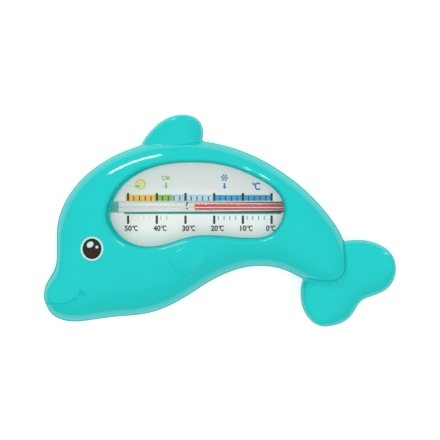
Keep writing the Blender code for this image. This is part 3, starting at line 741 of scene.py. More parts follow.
def print_grain():
    """Group: the fine mottle and slight unevenness of printed ink."""
    name = "Print grain"
    group = new_group(
        name,
        (
            ("Place", "NodeSocketVector", None),
            ("Colour", "NodeSocketColor", (1, 1, 1, 1)),
            ("Paler", "NodeSocketColor", (1, 1, 1, 1)),
            ("Mottle", "NodeSocketFloat", 0.1),
            ("Roughness", "NodeSocketFloat", 0.4),
        ),
        (("Colour", "NodeSocketColor"), ("Roughness", "NodeSocketFloat"), ("Height", "NodeSocketFloat")),
    )
    if group is None:
        return bpy.data.node_groups[name]
    n = Nodes(group)
    given = group.nodes.new("NodeGroupInput").outputs
    out = group.nodes.new("NodeGroupOutput")
    fine = n.noise(given["Place"], 2600.0, 3.0, 0.6)
    broad = n.noise(given["Place"], 240.0, 2.0)
    mottle = n.math("ADD", n.math("MULTIPLY", fine, 0.6), n.math("MULTIPLY", broad, 0.4))
    share = n.math("MULTIPLY", mottle, given["Mottle"])
    n.feed(out, "Colour", n.mix_colour(share, given["Colour"], given["Paler"]))
    drift = n.math("MULTIPLY", n.math("SUBTRACT", broad, 0.5), 0.2)
    n.feed(out, "Roughness", n.math("ADD", given["Roughness"], drift))
    n.feed(out, "Height", fine)
    return group


def started(name):
    """A material with its nodes, its shader and the object's own coordinates."""
    material = bpy.data.materials.new(name)
    material.use_nodes = True
    nodes = Nodes(material.node_tree)
    shader = material.node_tree.nodes["Principled BSDF"]
    place = material.node_tree.nodes.new("ShaderNodeTexCoord").outputs["Object"]
    return material, nodes, shader, place


def set_group(nodes, group, **values):
    node = nodes.tree.nodes.new("ShaderNodeGroup")
    node.node_tree = group
    for key, value in values.items():
        nodes.feed(node, key.replace("_", " "), value)
    return node


def bumped(nodes, height, strength, distance):
    bump = nodes.tree.nodes.new("ShaderNodeBump")
    bump.inputs["Strength"].default_value = strength
    bump.inputs["Distance"].default_value = distance
    nodes.feed(bump, "Height", height)
    return bump.outputs["Normal"]


def polished(name, picked, roughness):
    """Polished moulding whose clear gloss fades where it is seen edge on."""
    material = moulded_plastic(name, picked, roughness, 1.0, shine=0.0)
    nodes = Nodes(material.node_tree)
    edge_on = material.node_tree.nodes.new("ShaderNodeLayerWeight").outputs["Facing"]
    shader = material.node_tree.nodes["Principled BSDF"]
    nodes.feed(shader, "Coat Weight", nodes.spread(edge_on, 0.64, 0.76, 1.0, 0.04))
    return material


def moulded_plastic(name, picked, roughness, coat, wave=60.0, distance=0.00002, shine=0.5):
    """Polished moulded plastic with its faint waves, peel and handled patches."""
    material, nodes, shader, place = started(name)
    skin = set_group(
        nodes, moulded_skin(), Place=place, Wave_Size=wave, Colour=(*picked, 1), Roughness=roughness
    )
    nodes.feed(shader, "Base Color", skin.outputs["Colour"])
    nodes.feed(shader, "Roughness", skin.outputs["Roughness"])
    nodes.feed(shader, "Normal", bumped(nodes, skin.outputs["Height"], 0.35, distance))
    shader.inputs["Specular IOR Level"].default_value = shine
    shader.inputs["Coat Weight"].default_value = coat
    shader.inputs["Coat Roughness"].default_value = 0.08
    return material


def printed(name, picked, mottle=0.1, roughness=0.4):
    """Ink printed on the plate."""
    material, nodes, shader, place = started(name)
    paler = tuple(0.5 + 0.5 * c for c in picked)
    grain = set_group(
        nodes, print_grain(), Place=place, Colour=(*picked, 1), Paler=(*paler, 1), Mottle=mottle,
        Roughness=roughness,
    )
    nodes.feed(shader, "Base Color", grain.outputs["Colour"])
    nodes.feed(shader, "Roughness", grain.outputs["Roughness"])
    nodes.feed(shader, "Normal", bumped(nodes, grain.outputs["Height"], 0.1, 0.00001))
    shader.inputs["Specular IOR Level"].default_value = 0.2
    return material


def clear(name, tint, roughness):
    """Clear plastic or glass, which lamps shine through."""
    material, nodes, shader, place = started(name)
    skin = set_group(
        nodes, moulded_skin(), Place=place, Wave_Size=45.0, Peel_Share=0.05, Colour=(*tint, 1),
        Colour_Drift=0.01, Roughness=roughness, Roughness_Drift=0.03,
    )
    nodes.feed(shader, "Base Color", skin.outputs["Colour"])
    nodes.feed(shader, "Roughness", skin.outputs["Roughness"])
    nodes.feed(shader, "Normal", bumped(nodes, skin.outputs["Height"], 0.15, 0.00001))
    shader.inputs["Transmission Weight"].default_value = 1.0
    shader.inputs["IOR"].default_value = 1.49
    let_light_through(material, shader, tint)
    return material


def let_light_through(material, shader, tint):
    """Lamps and the light from all round pass with this tint, and shadows stay soft."""
    tree = material.node_tree
    see_through = tree.nodes.new("ShaderNodeBsdfTransparent")
    see_through.inputs["Color"].default_value = (*tint, 1)
    path = tree.nodes.new("ShaderNodeLightPath")
    seen = shader
    for ray in ("Is Diffuse Ray", "Is Shadow Ray"):
        mix = tree.nodes.new("ShaderNodeMixShader")
        tree.links.new(path.outputs[ray], mix.inputs[0])
        tree.links.new(seen.outputs[0], mix.inputs[1])
        tree.links.new(see_through.outputs[0], mix.inputs[2])
        seen = mix
    tree.links.new(seen.outputs[0], tree.nodes["Material Output"].inputs["Surface"])


def background_rays(nodes):
    """1 for the rays that show the background: from the camera, mirrored, or through glass."""
    path = nodes.tree.nodes.new("ShaderNodeLightPath").outputs
    seen = nodes.math("MAXIMUM", path["Is Camera Ray"], path["Is Glossy Ray"])
    return nodes.math("MAXIMUM", seen, path["Is Transmission Ray"])


def dress(obj, material):
    """Puts the material in every slot of a CAD node or a new piece."""
    if not obj.material_slots:
        obj.data.materials.append(material)
    for slot in obj.material_slots:
        slot.material = material


def declare(obj, slot, *replaced):
    """Rides the piece on the one body and hides the CAD nodes that it replaces."""
    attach(obj, "root")
    if replaced:
        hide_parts(*replaced)


# ---------------------------------------------------------------- shells


def moulded_form(name, steps, reach):
    """The whole outside as one solid: body, back fin and tail fluke, with softened joints."""
    body = laid_over(name, body_rings(steps, (40, 26)))
    join(body, laid_over("fin", fin_rings(steps, (26, 20))), laid_over("fluke", fluke_rings(steps, (26, 20))))
    with editing(body):
        bpy.ops.mesh.remove_doubles(threshold=0.02 * MM)
    soften_joints(body, reach)
    return body


def cores():
    """What hollows the body, the fluke and the fin, each a wall inside its form."""
    body = laid_over("core", body_rings(3, (14, 12), WALL))
    half = BULKHEAD_THICKNESS / 2
    cut(body, block("bulkhead", BULKHEAD_X - half, BULKHEAD_X + half, -REACH, REACH, -REACH, REACH))
    fluke = laid_over("core", fluke_rings(2, (8, 8), WALL))
    return body, fluke, laid_over("core", fin_rings(2, (8, 8), WALL))


def fitted(name, tools):
    """The tools, trimmed to the middle of the walls so that they end inside them."""
    obj = merged(name, tools)
    trim = laid_over("trim", body_rings(2, (12, 12), WALL / 2))
    keep_side(trim, WALL / 2, above=True)
    return combine(obj, trim, "INTERSECT")


def window_cutter(face):
    """The window's opening: a leaning wall that rolls over into the face with a round."""
    sight = through(WINDOW_OUTLINE, 8, closed=True)
    away = turned_right(np.roll(sight, -1, axis=0) - np.roll(sight, 1, axis=0))
    sight = sight - np.maximum(away[:, 1:], 0) * (0.0, WINDOW_DROP)
    lip = sight + away * (WINDOW_FLARE + WINDOW_FLARE_AT_BEAK * np.maximum(-away[:, :1], 0))
    outwards = turned_right(np.roll(lip, -1, axis=0) - np.roll(lip, 1, axis=0))
    rounds = RIM_ROUND * (1 - 0.5 * np.maximum(outwards[:, 1:], 0))
    outer = lip + outwards * rounds
    heights = np.array([face.height(x, y) for x, y in outer])
    beyond = np.array([face.height(x, y) for x, y in outer + outwards])
    slopes = np.arctan2(beyond - heights, 1.0)
    even = np.ones(17) / 17
    slopes = np.convolve(np.r_[slopes[-8:], slopes, slopes[:8]], even, "valid")
    rings = [[(x, y, LENS_BOTTOM) for x, y in sight], [(x, y, LENS_TOP) for x, y in sight]]
    arc_steps = 16
    for k in range(arc_steps + 1):
        ring = []
        for point, out, height, slope, (rim_round,) in zip(lip, outwards, heights, slopes, rounds):
            end = math.pi / 2 + slope
            turn = end * k / arc_steps
            x_end, z_end = rim_round * (1 - math.cos(end)), rim_round * math.sin(end)
            along = rim_round * (1 - math.cos(turn)) * (rim_round / x_end)
            ring.append((*(point + out * along), height + RIM_LIFT - z_end + rim_round * math.sin(turn)))
        rings.append(ring)
    rings.append([(x, y, REACH) for x, y, _ in rings[-1]])
    return laid_over("window_cutter", rings)


def groove(name, line, face):
    """A round-bottomed groove along a line on the face, fading out at both ends."""
    path = through(line, 10)
    side = turned_right(np.gradient(path, axis=0))
    heights = np.array([face.height(x, y) for x, y in path])
    heights = np.maximum(heights, heights.max() - GROOVE_FALL)
    rings = []
    for step, ((x, y), across, on_face) in enumerate(zip(path, side, heights)):
        share = (step + 0.5) / len(path)
        radius = MOUTH_RADIUS * math.sin(math.pi * share) ** 0.5
        height = on_face + MOUTH_RADIUS - MOUTH_SINK
        ring = []
        for k in range(24):
            angle = 2 * math.pi * k / 24
            flat = across * radius * math.cos(angle)
            ring.append((x + flat[0], y + flat[1], height + radius * math.sin(angle)))
        rings.append(ring)
    return laid_over(name, rings)


def flipper(face):
    """The side flipper, a low leaf in relief on the flank."""
    leaf = laid_over(
        "flipper",
        pillow_rings(FLIPPER_STATIONS, even_depths(FLIPPER_DEPTH), FLIPPER_END_ROUND, 2.2, 6, (24, 8)),
    )
    rows = np.array(FLIPPER_STATIONS)
    x, y = (rows[:, :2].mean(0) + rows[:, 2:].mean(0)) / 2
    base = Matrix.Translation(Vector((-x, -y, -PARTING_HEIGHT)) * MM)
    leaf.data.transform(face.place(x, y, FLIPPER_PROUD - FLIPPER_DEPTH) @ base)
    return leaf


def eye_disc(name, radii, low, high, face, at=(0.0, 0.0), turn=0.0, sides=72):
    """An oval disc that follows the face at the eye, from low to high above it."""
    disc = upright(name, ellipse(at, radii, sides, turn), low, high)
    disc.data.transform(face.place(*EYE_AT))
    return disc


def grown(radii, by):
    return radii[0] + by, radii[1] + by


def seal_hole():
    radius = TUBE_RADIUS + CUSHION_FIT + SEAL_NECK + CUSHION_FIT
    return lathed("seal_hole", [(BULKHEAD_X - 1.5, radius), (BULKHEAD_X + 1.5, radius)], 48)


class BATHTHERMO_OT_shells(bpy.types.Operator):
    """Model the two moulded shells finely, from the outlines that the part is made from"""

    bl_idname = "bath_thermometer.shells"
    bl_label = "Shells"

    def execute(self, context):
        shape = context.scene.thermometer_shape
        face = Face()
        outer = moulded_form("outer", shape.loft_steps, shape.seam_soften)
        plastic = polished("Teal moulding", context.scene.thermometer_colours.teal, 0.24)
        for shell in (self.front(outer, face), self.rear(outer)):
            smooth(shell, 38)
            dress(shell, plastic)
        declare(bpy.data.objects["fine_front_shell"], "teal_plastic", "front_shell")
        declare(bpy.data.objects["fine_rear_shell"], "teal_plastic", "rear_shell")
        bpy.data.objects.remove(outer)
        return {"FINISHED"}

    def front(self, outer, face):
        shell = copy_of(outer, "fine_front_shell")
        keep_side(shell, PARTING_HEIGHT + PARTING_GAP / 2, above=True)
        sight = through(WINDOW_OUTLINE, 6, closed=True)
        body_core, fluke_core, fin_core = cores()
        curb_out = LENS_LAP + CLEARANCE + CURB_WALL
        cut(body_core, upright("curb", offset_outline(sight, curb_out), PLATE_TOP + CLEARANCE, REACH))
        cut(shell, body_core, fluke_core, fin_core)
        join(shell, flipper(face))
        seat = upright("seat", offset_outline(sight, LENS_LAP + CLEARANCE), PARTING_HEIGHT, LENS_TOP + CLEARANCE)
        cut(shell, seat, window_cutter(face))
        notch = TUBE_RADIUS + TROUGH_CLEARANCE
        cut(shell, lathed("notch", [(TUBE_START_X, notch), (BULKHEAD_X, notch)], 32))
        cut(shell, groove("mouth", MOUTH_LINE, face), groove("crease", CHEEK_CREASE, face))
        cut(shell, eye_disc("eye_seat", grown(EYE_RADII, SEAT_FIT), -EYE_SEAT, 3.0, face))
        low = PARTING_HEIGHT - PIN_REACH
        join(shell, fitted("pins", [round_bar("pin", x, y, PIN_RADIUS, low, REACH) for x, y in WELD_PINS]))
        cut(shell, seal_hole())
        return shell

    def rear(self, outer):
        shell = copy_of(outer, "fine_rear_shell")
        keep_side(shell, PARTING_HEIGHT - PARTING_GAP / 2, above=False)
        keep_side(shell, 0.0, above=True)
        body_core, fluke_core, fin_core = cores()
        keep_side(body_core, WALL, above=True)
        cut(shell, body_core, fluke_core, fin_core)
        boss = PIN_RADIUS + CLEARANCE + BOSS_WALL
        boss_top = PARTING_HEIGHT - PARTING_GAP / 2
        post_top = PLATE_TOP - PLATE_THICKNESS - CLEARANCE
        fittings = [round_bar("post", x, y, POST_RADIUS, -REACH, post_top) for x, y in PLATE_POSTS]
        fittings += [round_bar("boss", x, y, boss, -REACH, boss_top) for x, y in WELD_PINS]
        low, high = TUBE_Y - CRADLE_WIDTH / 2, TUBE_Y + CRADLE_WIDTH / 2
        cushion = TUBE_RADIUS + CUSHION_FIT + CUSHION_WALL
        rests = (
            (TUBE_START_X + 1.0 + CUSHION_LENGTH / 2, cushion, CRADLE_THICKNESS),
            (END_REST_X, TUBE_RADIUS, END_REST_THICKNESS),
            (BULB_END_X - CRADLE_BEFORE_BULB_END, BULB_RADIUS, CRADLE_THICKNESS),
        )
        rib_top = TUBE_HEIGHT - CRADLE_BELOW_AXIS
        for x, _, deep in rests:
            fittings.append(block("rib", x - deep / 2, x + deep / 2, low, high, -REACH, rib_top))
        fittings.append(block("rail", *RAIL_X, *RAIL_Y, -REACH, post_top))
        join(shell, fitted("fittings", fittings))
        bore, bore_low = PIN_RADIUS + CLEARANCE, PARTING_HEIGHT - PIN_REACH - CLEARANCE
        for x, y in WELD_PINS:
            cut(shell, round_bar("bore", x, y, bore, bore_low, boss_top + 1))
        for x, radius, deep in rests:
            saddle = radius + CLEARANCE
            cut(shell, lathed("saddle", [(x - deep, saddle), (x + deep, saddle)], 40))
        cut(shell, seal_hole())
        for k in range(SLOT_COUNT):
            x, y = SLOT_FIRST_AT[0] + k * SLOT_PITCH, SLOT_FIRST_AT[1]
            left, right = x - SLOT_WIDTH / 2, x + SLOT_WIDTH / 2
            cut(shell, block("slot", left, right, y, y + SLOT_LENGTH, -REACH, PARTING_HEIGHT - WALL))
        return shell


# ---------------------------------------------------------------- window, plate and tube


class BATHTHERMO_OT_window(bpy.types.Operator):
    """Give the window its clear, polished plastic"""

    bl_idname = "bath_thermometer.window"
    bl_label = "Window"

    def execute(self, context):
        dress(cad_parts["window_lens"], clear("Clear moulding", (0.99, 1.0, 0.995), 0.0))
        return {"FINISHED"}


class BATHTHERMO_OT_plate(bpy.types.Operator):
    """Give the scale plate its satin white and its four printed colours"""

    bl_idname = "bath_thermometer.plate"
    bl_label = "Scale plate"

    def execute(self, context):
        picked = context.scene.thermometer_colours
        white = moulded_plastic("Satin plate", picked.plate, 0.5, 0.0, wave=120.0, distance=0.00001, shine=0.2)
        dress(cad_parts["scale_plate"], white)
        dress(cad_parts["band_hot"], printed("Amber ink", picked.amber))
        dress(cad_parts["band_ideal"], printed("Green ink", picked.green))
        dress(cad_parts["band_cool"], printed("Pale blue ink", picked.pale_blue))
        dress(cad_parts["band_cold"], printed("Blue ink", picked.blue))
        return {"FINISHED"}


def bulb_end(radius, count):
    """The rounded end of the bulb, or of its hollow, as (x, radius) from the side to the tip."""
    centre = BULB_END_X - BULB_RADIUS
    found = []
    for k in range(count + 1):
        angle = math.radians(90 * k / count)
        found.append((centre + radius * math.sin(angle), max(radius * math.cos(angle), 0.0)))
    return found


def degrees_to_x(degrees):
    return SCALE_0_X + (SCALE_50_X - SCALE_0_X) * degrees / 50


class BATHTHERMO_OT_tube(bpy.types.Operator):
    """Model the blown glass tube and the red spirit that fills its bulb and part of its bore"""

    bl_idname = "bath_thermometer.tube"
    bl_label = "Tube"

    def execute(self, context):
        column_top = degrees_to_x(SPIRIT_TOP_DEGREES)
        glass = lathed("drawn_tube", self.glass_profile(column_top), 96)
        spirit = lathed("dyed_spirit", self.spirit_profile(column_top), 64)
        smooth(glass, 50)
        smooth(spirit, 60)
        dress(glass, clear("Drawn glass", (0.985, 0.995, 0.99), 0.0))
        dress(spirit, self.dyed(context.scene.thermometer_colours.spirit))
        declare(glass, "tube_glass", "glass_tube")
        declare(spirit, "spirit_red", "red_spirit")
        soft = moulded_plastic("Silicone", paint(225, 226, 222), 0.6, 0.0, wave=300.0)
        dress(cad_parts["tube_cushion"], soft)
        dress(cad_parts["stem_seal"], soft)
        return {"FINISHED"}

    def dyed(self, red):
        """Red dyed spirit with a painted highlight: a thin pale line painted along the top of the column."""
        material, nodes, shader, place = started("Dyed spirit")
        split = nodes.tree.nodes.new("ShaderNodeSeparateXYZ")
        nodes.feed(split, 0, place)
        # Painted highlight: a thin pale pink band along the column's top, painted where the glass would show a
        # reflection
        from_painted_highlight = nodes.math("ABSOLUTE", nodes.math("SUBTRACT", split.outputs["Y"], PAINTED_HIGHLIGHT_Y * MM))
        line = nodes.spread(from_painted_highlight, 0.12 * MM, 0.22 * MM, 1.0, 0.0)
        above = nodes.math("GREATER_THAN", split.outputs["Z"], TUBE_HEIGHT * MM)
        line = nodes.math("MULTIPLY", line, above)
        # The red dye, with the painted highlight mixed in along that band
        toned = nodes.mix_colour(line, (*red, 1), (*paint(255, 214, 208), 1))
        skin = set_group(
            nodes, moulded_skin(), Place=place, Wave_Size=90.0, Colour=toned, Colour_Drift=0.05,
            Roughness=0.3,
        )
        nodes.feed(shader, "Base Color", skin.outputs["Colour"])
        nodes.feed(shader, "Roughness", skin.outputs["Roughness"])
        let_light_through(material, shader, (1.0, 0.86, 0.85))
        return material

    def glass_profile(self, column_top):
        """From the bulb's end over the outside to the open tip, then down the empty bore."""
        outside = list(reversed(bulb_end(BULB_RADIUS, 10)))
        shoulder = BULB_START_X - (BULB_RADIUS - TUBE_RADIUS)
        outside += [(BULB_START_X, BULB_RADIUS), (shoulder, TUBE_RADIUS)]
        for k in range(8, -1, -1):
            rise = math.sin(math.radians(90 * k / 8))
            swell = (TUBE_RADIUS - TIP_RADIUS) * math.sqrt(1 - (1 - rise) ** 2)
            outside.append((TUBE_START_X + TIP_LENGTH * rise, TIP_RADIUS + swell))
        bore = [(TUBE_START_X, HAIR_RADIUS), (column_top - 0.06, HAIR_RADIUS), (column_top - 0.05, 0.0)]
        return outside + bore

    def spirit_profile(self, column_top):
        inner = BULB_RADIUS - GLASS_WALL
        profile = [(column_top, 0.0), (column_top + 0.02, BORE_RADIUS)]
        profile += [(BULB_START_X - inner / 2, BORE_RADIUS), (BULB_START_X, inner)]
        return profile + bulb_end(inner, 8)


# ---------------------------------------------------------------- printed marks


def print_on_plate(name, parts, ink):
    """Joins printed parts into one piece in this ink, riding on the one body."""
    made = merged(name, parts)
    dress(made, ink)
    declare(made, "plate_white")


def printed_bar(x, low, high, width):
    return block("bar", x - width / 2, x + width / 2, low, high, PLATE_TOP, PLATE_TOP + INK_HEIGHT)


def flat_shape(name, outline, low=PLATE_TOP):
    """A printed shape: a filled circle primitive with its corners moved, then extruded."""
    deselect()
    bpy.ops.mesh.primitive_circle_add(vertices=len(outline), radius=1, fill_type="NGON")
    obj = named(name)
    for vertex, (x, y) in zip(obj.data.vertices, outline):
        vertex.co = (x * MM, y * MM, low * MM)
    with editing(obj):
        bpy.ops.mesh.extrude_region_move(TRANSFORM_OT_translate={"value": (0, 0, INK_HEIGHT * MM)})
        bpy.ops.mesh.select_all(action="SELECT")
        bpy.ops.mesh.normals_make_consistent(inside=False)
    return obj


def ring_shape(name, centre, outer, inner, low=PLATE_TOP):
    made = flat_shape(name, ellipse(centre, (outer, outer), 40), low)
    hole = round_bar("hole", centre[0], centre[1], inner, low - 1, low + 1, 40)
    cut(made, hole)
    return made


def lettering(name, body, left, right, low, high, weight=0.034):
    """Text made a mesh and fitted between these limits on the plate."""
    deselect()
    bpy.ops.object.text_add()
    text = bpy.context.active_object
    text.data.body = body
    text.data.extrude = 0.05
    text.data.offset = weight
    text.data.resolution_u = 6
    bpy.ops.object.convert(target="MESH")
    obj = named(name)
    with editing(obj):
        bpy.ops.mesh.remove_doubles(threshold=1e-5)
    co = np.empty(len(obj.data.vertices) * 3)
    obj.data.vertices.foreach_get("co", co)
    co = co.reshape(-1, 3)
    least, most = co.min(0), co.max(0)
    goal_low = np.array((left, low, PLATE_TOP))
    goal_high = np.array((right, high, PLATE_TOP + INK_HEIGHT))
    co = (goal_low + (co - least) / (most - least) * (goal_high - goal_low)) * MM
    obj.data.vertices.foreach_set("co", co.reshape(-1))
    obj.data.update()
    return obj


def degree_and_c(left, right, low, high, stroke):
    """The sign for degrees Celsius: a small ring at the top left of a C."""
    small = (high - low) * 0.20
    return [
        ring_shape("degree", (left + small, high - small), small, small - stroke),
        lettering("c", "C", left + small * 1.55, right, low, high),
    ]


class BATHTHERMO_OT_ticks(bpy.types.Operator):
    """Print the tick marks above and below the tube, and the mark on the glass"""

    bl_idname = "bath_thermometer.ticks"
    bl_label = "Ticks"

    def execute(self, context):
        shape = context.scene.thermometer_shape
        picked = context.scene.thermometer_colours
        wide, narrow = shape.tick_width / MM, shape.minor_width / MM
        black = printed("Black ink", picked.tick, 0.03)
        majors = []
        for degrees in range(0, 60, 10):
            x = degrees_to_x(degrees)
            majors += [printed_bar(x, *UPPER_MAJOR, wide), printed_bar(x, *LOWER_MAJOR, wide)]
        print_on_plate("long_ticks", majors, black)
        inks = {"dark_amber": (60, 36, 14), "dark_green": (16, 60, 20)}
        inks |= {"slate": (40, 62, 88), "navy": (0, 44, 96)}
        minors = {kind: [] for kind in inks}
        for degrees in range(2, 50, 2):
            if degrees % 10 == 0:
                continue
            kind = "navy" if degrees < 20 else "slate" if degrees < 34.6 else "dark_green"
            kind = kind if degrees < 40 else "dark_amber"
            minors[kind].append(printed_bar(degrees_to_x(degrees), *UPPER_MINOR, narrow))
        for kind, bars in minors.items():
            print_on_plate(kind + "_ticks", bars, printed(kind + " ink", paint(*inks[kind]), 0.05))
        lower = {"cream": [], "lime": [], "sky": []}
        for degrees in SHOWN_LOWER_MINORS:
            kind = "cream" if degrees > 40 else "lime" if degrees > 30 else "sky"
            x = degrees_to_x(degrees) + LOWER_MINOR_SHIFT
            lower[kind].append(printed_bar(x, *LOWER_MINOR, narrow))
        inks = {"cream": (245, 228, 140), "lime": (186, 204, 96), "sky": (60, 165, 215)}
        for kind, bars in lower.items():
            print_on_plate(kind + "_ticks", bars, printed(kind + " ink", paint(*inks[kind]), 0.2))
        print_on_plate("tube_mark", self.tube_mark(), black)
        return {"FINISHED"}

    def tube_mark(self):
        """The maker's setting mark on the glass at 30 degrees: a short slanted stroke and a dot."""
        parts = []
        for name, outline in (
            ("stroke", ((-13.95, 8.1), (-14.7, 6.5), (-15.3, 6.5), (-14.75, 8.1))),
            ("dot", ellipse((-14.6, 5.3), (0.36, 0.36), 16)),
        ):
            mark = flat_shape(name, outline, 0.0)
            with editing(mark):
                bpy.ops.mesh.subdivide(number_cuts=3)
            for vertex in mark.data.vertices:
                y = vertex.co.y / MM - TUBE_Y
                lift = math.sqrt(TUBE_RADIUS**2 - y**2)
                vertex.co.z += (TUBE_HEIGHT + lift + 0.005) * MM
            parts.append(mark)
        return parts


class BATHTHERMO_OT_figures(bpy.types.Operator):
    """Print the figures under the ticks"""

    bl_idname = "bath_thermometer.figures"
    bl_label = "Figures"

    def execute(self, context):
        low, high = FIGURES_Y
        parts = []
        for degrees in range(0, 60, 10):
            digits = str(degrees)
            before, width = FIGURE_PLACES.get(degrees, FIGURE_PLACE)
            left = degrees_to_x(degrees) - before
            digit_right = left + width
            parts.append(lettering("digits", digits, left, digit_right, low, high))
            parts += degree_and_c(digit_right + SIGN_START, digit_right + SIGN_END, low, high, FIGURE_STROKE)
        print_on_plate("figures", parts, printed("Grey ink", context.scene.thermometer_colours.figure, 0.05))
        return {"FINISHED"}


def arrow(x, top, bottom, shaft, head, head_length):
    """A downward arrow."""
    neck = bottom + head_length
    return flat_shape("arrow", (
        (x - shaft / 2, top), (x - shaft / 2, neck), (x - head / 2, neck), (x, bottom),
        (x + head / 2, neck), (x + shaft / 2, neck), (x + shaft / 2, top),
    ))


class BATHTHERMO_OT_signs(bpy.types.Operator):
    """Print the small signs above the colours: warm, right, cold and degrees"""

    bl_idname = "bath_thermometer.signs"
    bl_label = "Signs"

    def execute(self, context):
        picked = context.scene.thermometer_colours
        green = printed("Sign green", picked.green, 0.1)
        blue = printed("Sign blue", paint(0, 124, 192), 0.05)
        yellow = printed("Sign yellow", paint(222, 196, 52), 0.15)
        cream = printed("Sign cream", paint(240, 234, 160), 0.3)
        olive = printed("Sign olive", paint(150, 168, 60), 0.1)
        print_on_plate("right_sign", [
            lettering("ok", "OK", -25.9, -21.8, 17.9, 19.9, 0.026),
            arrow(-23.95, 16.8, 14.1, 0.75, 1.6, 1.1),
        ], green)
        cold = [*self.flake(2.0, 19.0, 1.6), arrow(2.0, 16.6, 13.9, 0.85, 1.7, 1.1)]
        cold += degree_and_c(14.3, 17.8, 13.4, 16.9, SIGN_STROKE)
        print_on_plate("cold_signs", cold, blue)
        x, y = -35.25, 16.1
        print_on_plate("warm_ring", [ring_shape("ring", (x, y), 2.3, 1.85)], yellow)
        print_on_plate("warm_patch", [flat_shape("patch", ellipse((x, y), (1.85, 1.85), 32))], cream)
        on_patch = PLATE_TOP + INK_HEIGHT
        dots = [ellipse((x + dx, y + 0.35), (0.16, 0.22), 12) for dx in (-0.55, 0.5)]
        eyes = [flat_shape("dot", dot, on_patch) for dot in dots]
        print_on_plate("warm_dots", eyes, olive)
        leaf = ((-3.1, -0.95), (-1.9, -1.25), (-0.6, -1.15), (0.3, -0.85), (-0.5, -0.6), (-1.6, -0.6))
        leaf = [(x + a, y + b) for a, b in leaf]
        print_on_plate("warm_leaf", [flat_shape("leaf", leaf, on_patch)], green)
        return {"FINISHED"}

    def flake(self, x, y, radius):
        """A snow star of six separate wedges."""
        wedges = []
        for k in range(6):
            angle = math.radians(60 * k - 8)
            outline = []
            for reach, side in ((0.1, -0.05), (1.0, -0.28), (1.0, 0.28), (0.1, 0.05)):
                along, across = radius * reach, radius * side
                outline.append((
                    x + along * math.cos(angle) - across * math.sin(angle),
                    y + along * math.sin(angle) + across * math.cos(angle),
                ))
            wedges.append(flat_shape("wedge", outline))
        return wedges


# ---------------------------------------------------------------- eye


class BATHTHERMO_OT_eye(bpy.types.Operator):
    """Model the eye: a pale ring, a brown pupil let into it and two glints"""

    bl_idname = "bath_thermometer.eye"
    bl_label = "Eye"

    def execute(self, context):
        picked = context.scene.thermometer_colours
        face = Face()
        ring_ink = printed("Eye ring print", picked.eye_ring, 0.15, roughness=0.25)
        low = CLEARANCE - EYE_SEAT
        high = low + EYE_THICKNESS
        ring = eye_disc("eye_ring", EYE_RADII, low, high, face)
        pocket = high - PUPIL_POCKET
        cut(ring, eye_disc("pocket", grown(PUPIL_RADII, POCKET_FIT), pocket, high + 1, face))
        pupil_low = pocket + INK_GAP
        pupil_high = pupil_low + PUPIL_THICKNESS
        pupil = eye_disc("eye_pupil_print", PUPIL_RADII, pupil_low, pupil_high, face)
        for name, at, radii, turn in GLINTS:
            cut(pupil, eye_disc("hole", grown(radii, GLINT_FIT), pupil_low - 1, pupil_high + 1, face, at, turn))
            glint = eye_disc(name + "_print", radii, pupil_low, pupil_high, face, at, turn, 48)
            dress(smooth(glint), ring_ink)
            declare(glint, "eye_white", name)
        dress(smooth(ring), ring_ink)
        dress(smooth(pupil), self.iris(picked.pupil, face))
        declare(ring, "eye_white", "eye_white")
        declare(pupil, "eye_brown", "eye_pupil")
        return {"FINISHED"}

    def iris(self, brown, face):
        """Dark brown that turns black towards its rim."""
        material, nodes, shader, place = started("Pupil print")
        mapping = nodes.tree.nodes.new("ShaderNodeMapping")
        mapping.vector_type = "TEXTURE"
        height = face.height(*EYE_AT)
        mapping.inputs["Location"].default_value = Vector((*EYE_AT, height)) * MM
        mapping.inputs["Scale"].default_value = (PUPIL_RADII[0] * MM, PUPIL_RADII[1] * MM, 1.0)
        nodes.feed(mapping, "Vector", place)
        reach = nodes.tree.nodes.new("ShaderNodeVectorMath")
        reach.operation = "LENGTH"
        nodes.feed(reach, 0, mapping.outputs[0])
        rim = nodes.spread(reach.outputs["Value"], 0.82, 0.93, 0.0, 1.0)
        toned = nodes.mix_colour(rim, (*brown, 1), (0.004, 0.003, 0.003, 1))
        grain = set_group(
            nodes, print_grain(), Place=place, Colour=toned, Paler=(0.08, 0.04, 0.02, 1), Mottle=0.12,
            Roughness=0.22,
        )
        nodes.feed(shader, "Base Color", grain.outputs["Colour"])
        nodes.feed(shader, "Roughness", grain.outputs["Roughness"])
        return material


# ---------------------------------------------------------------- stage


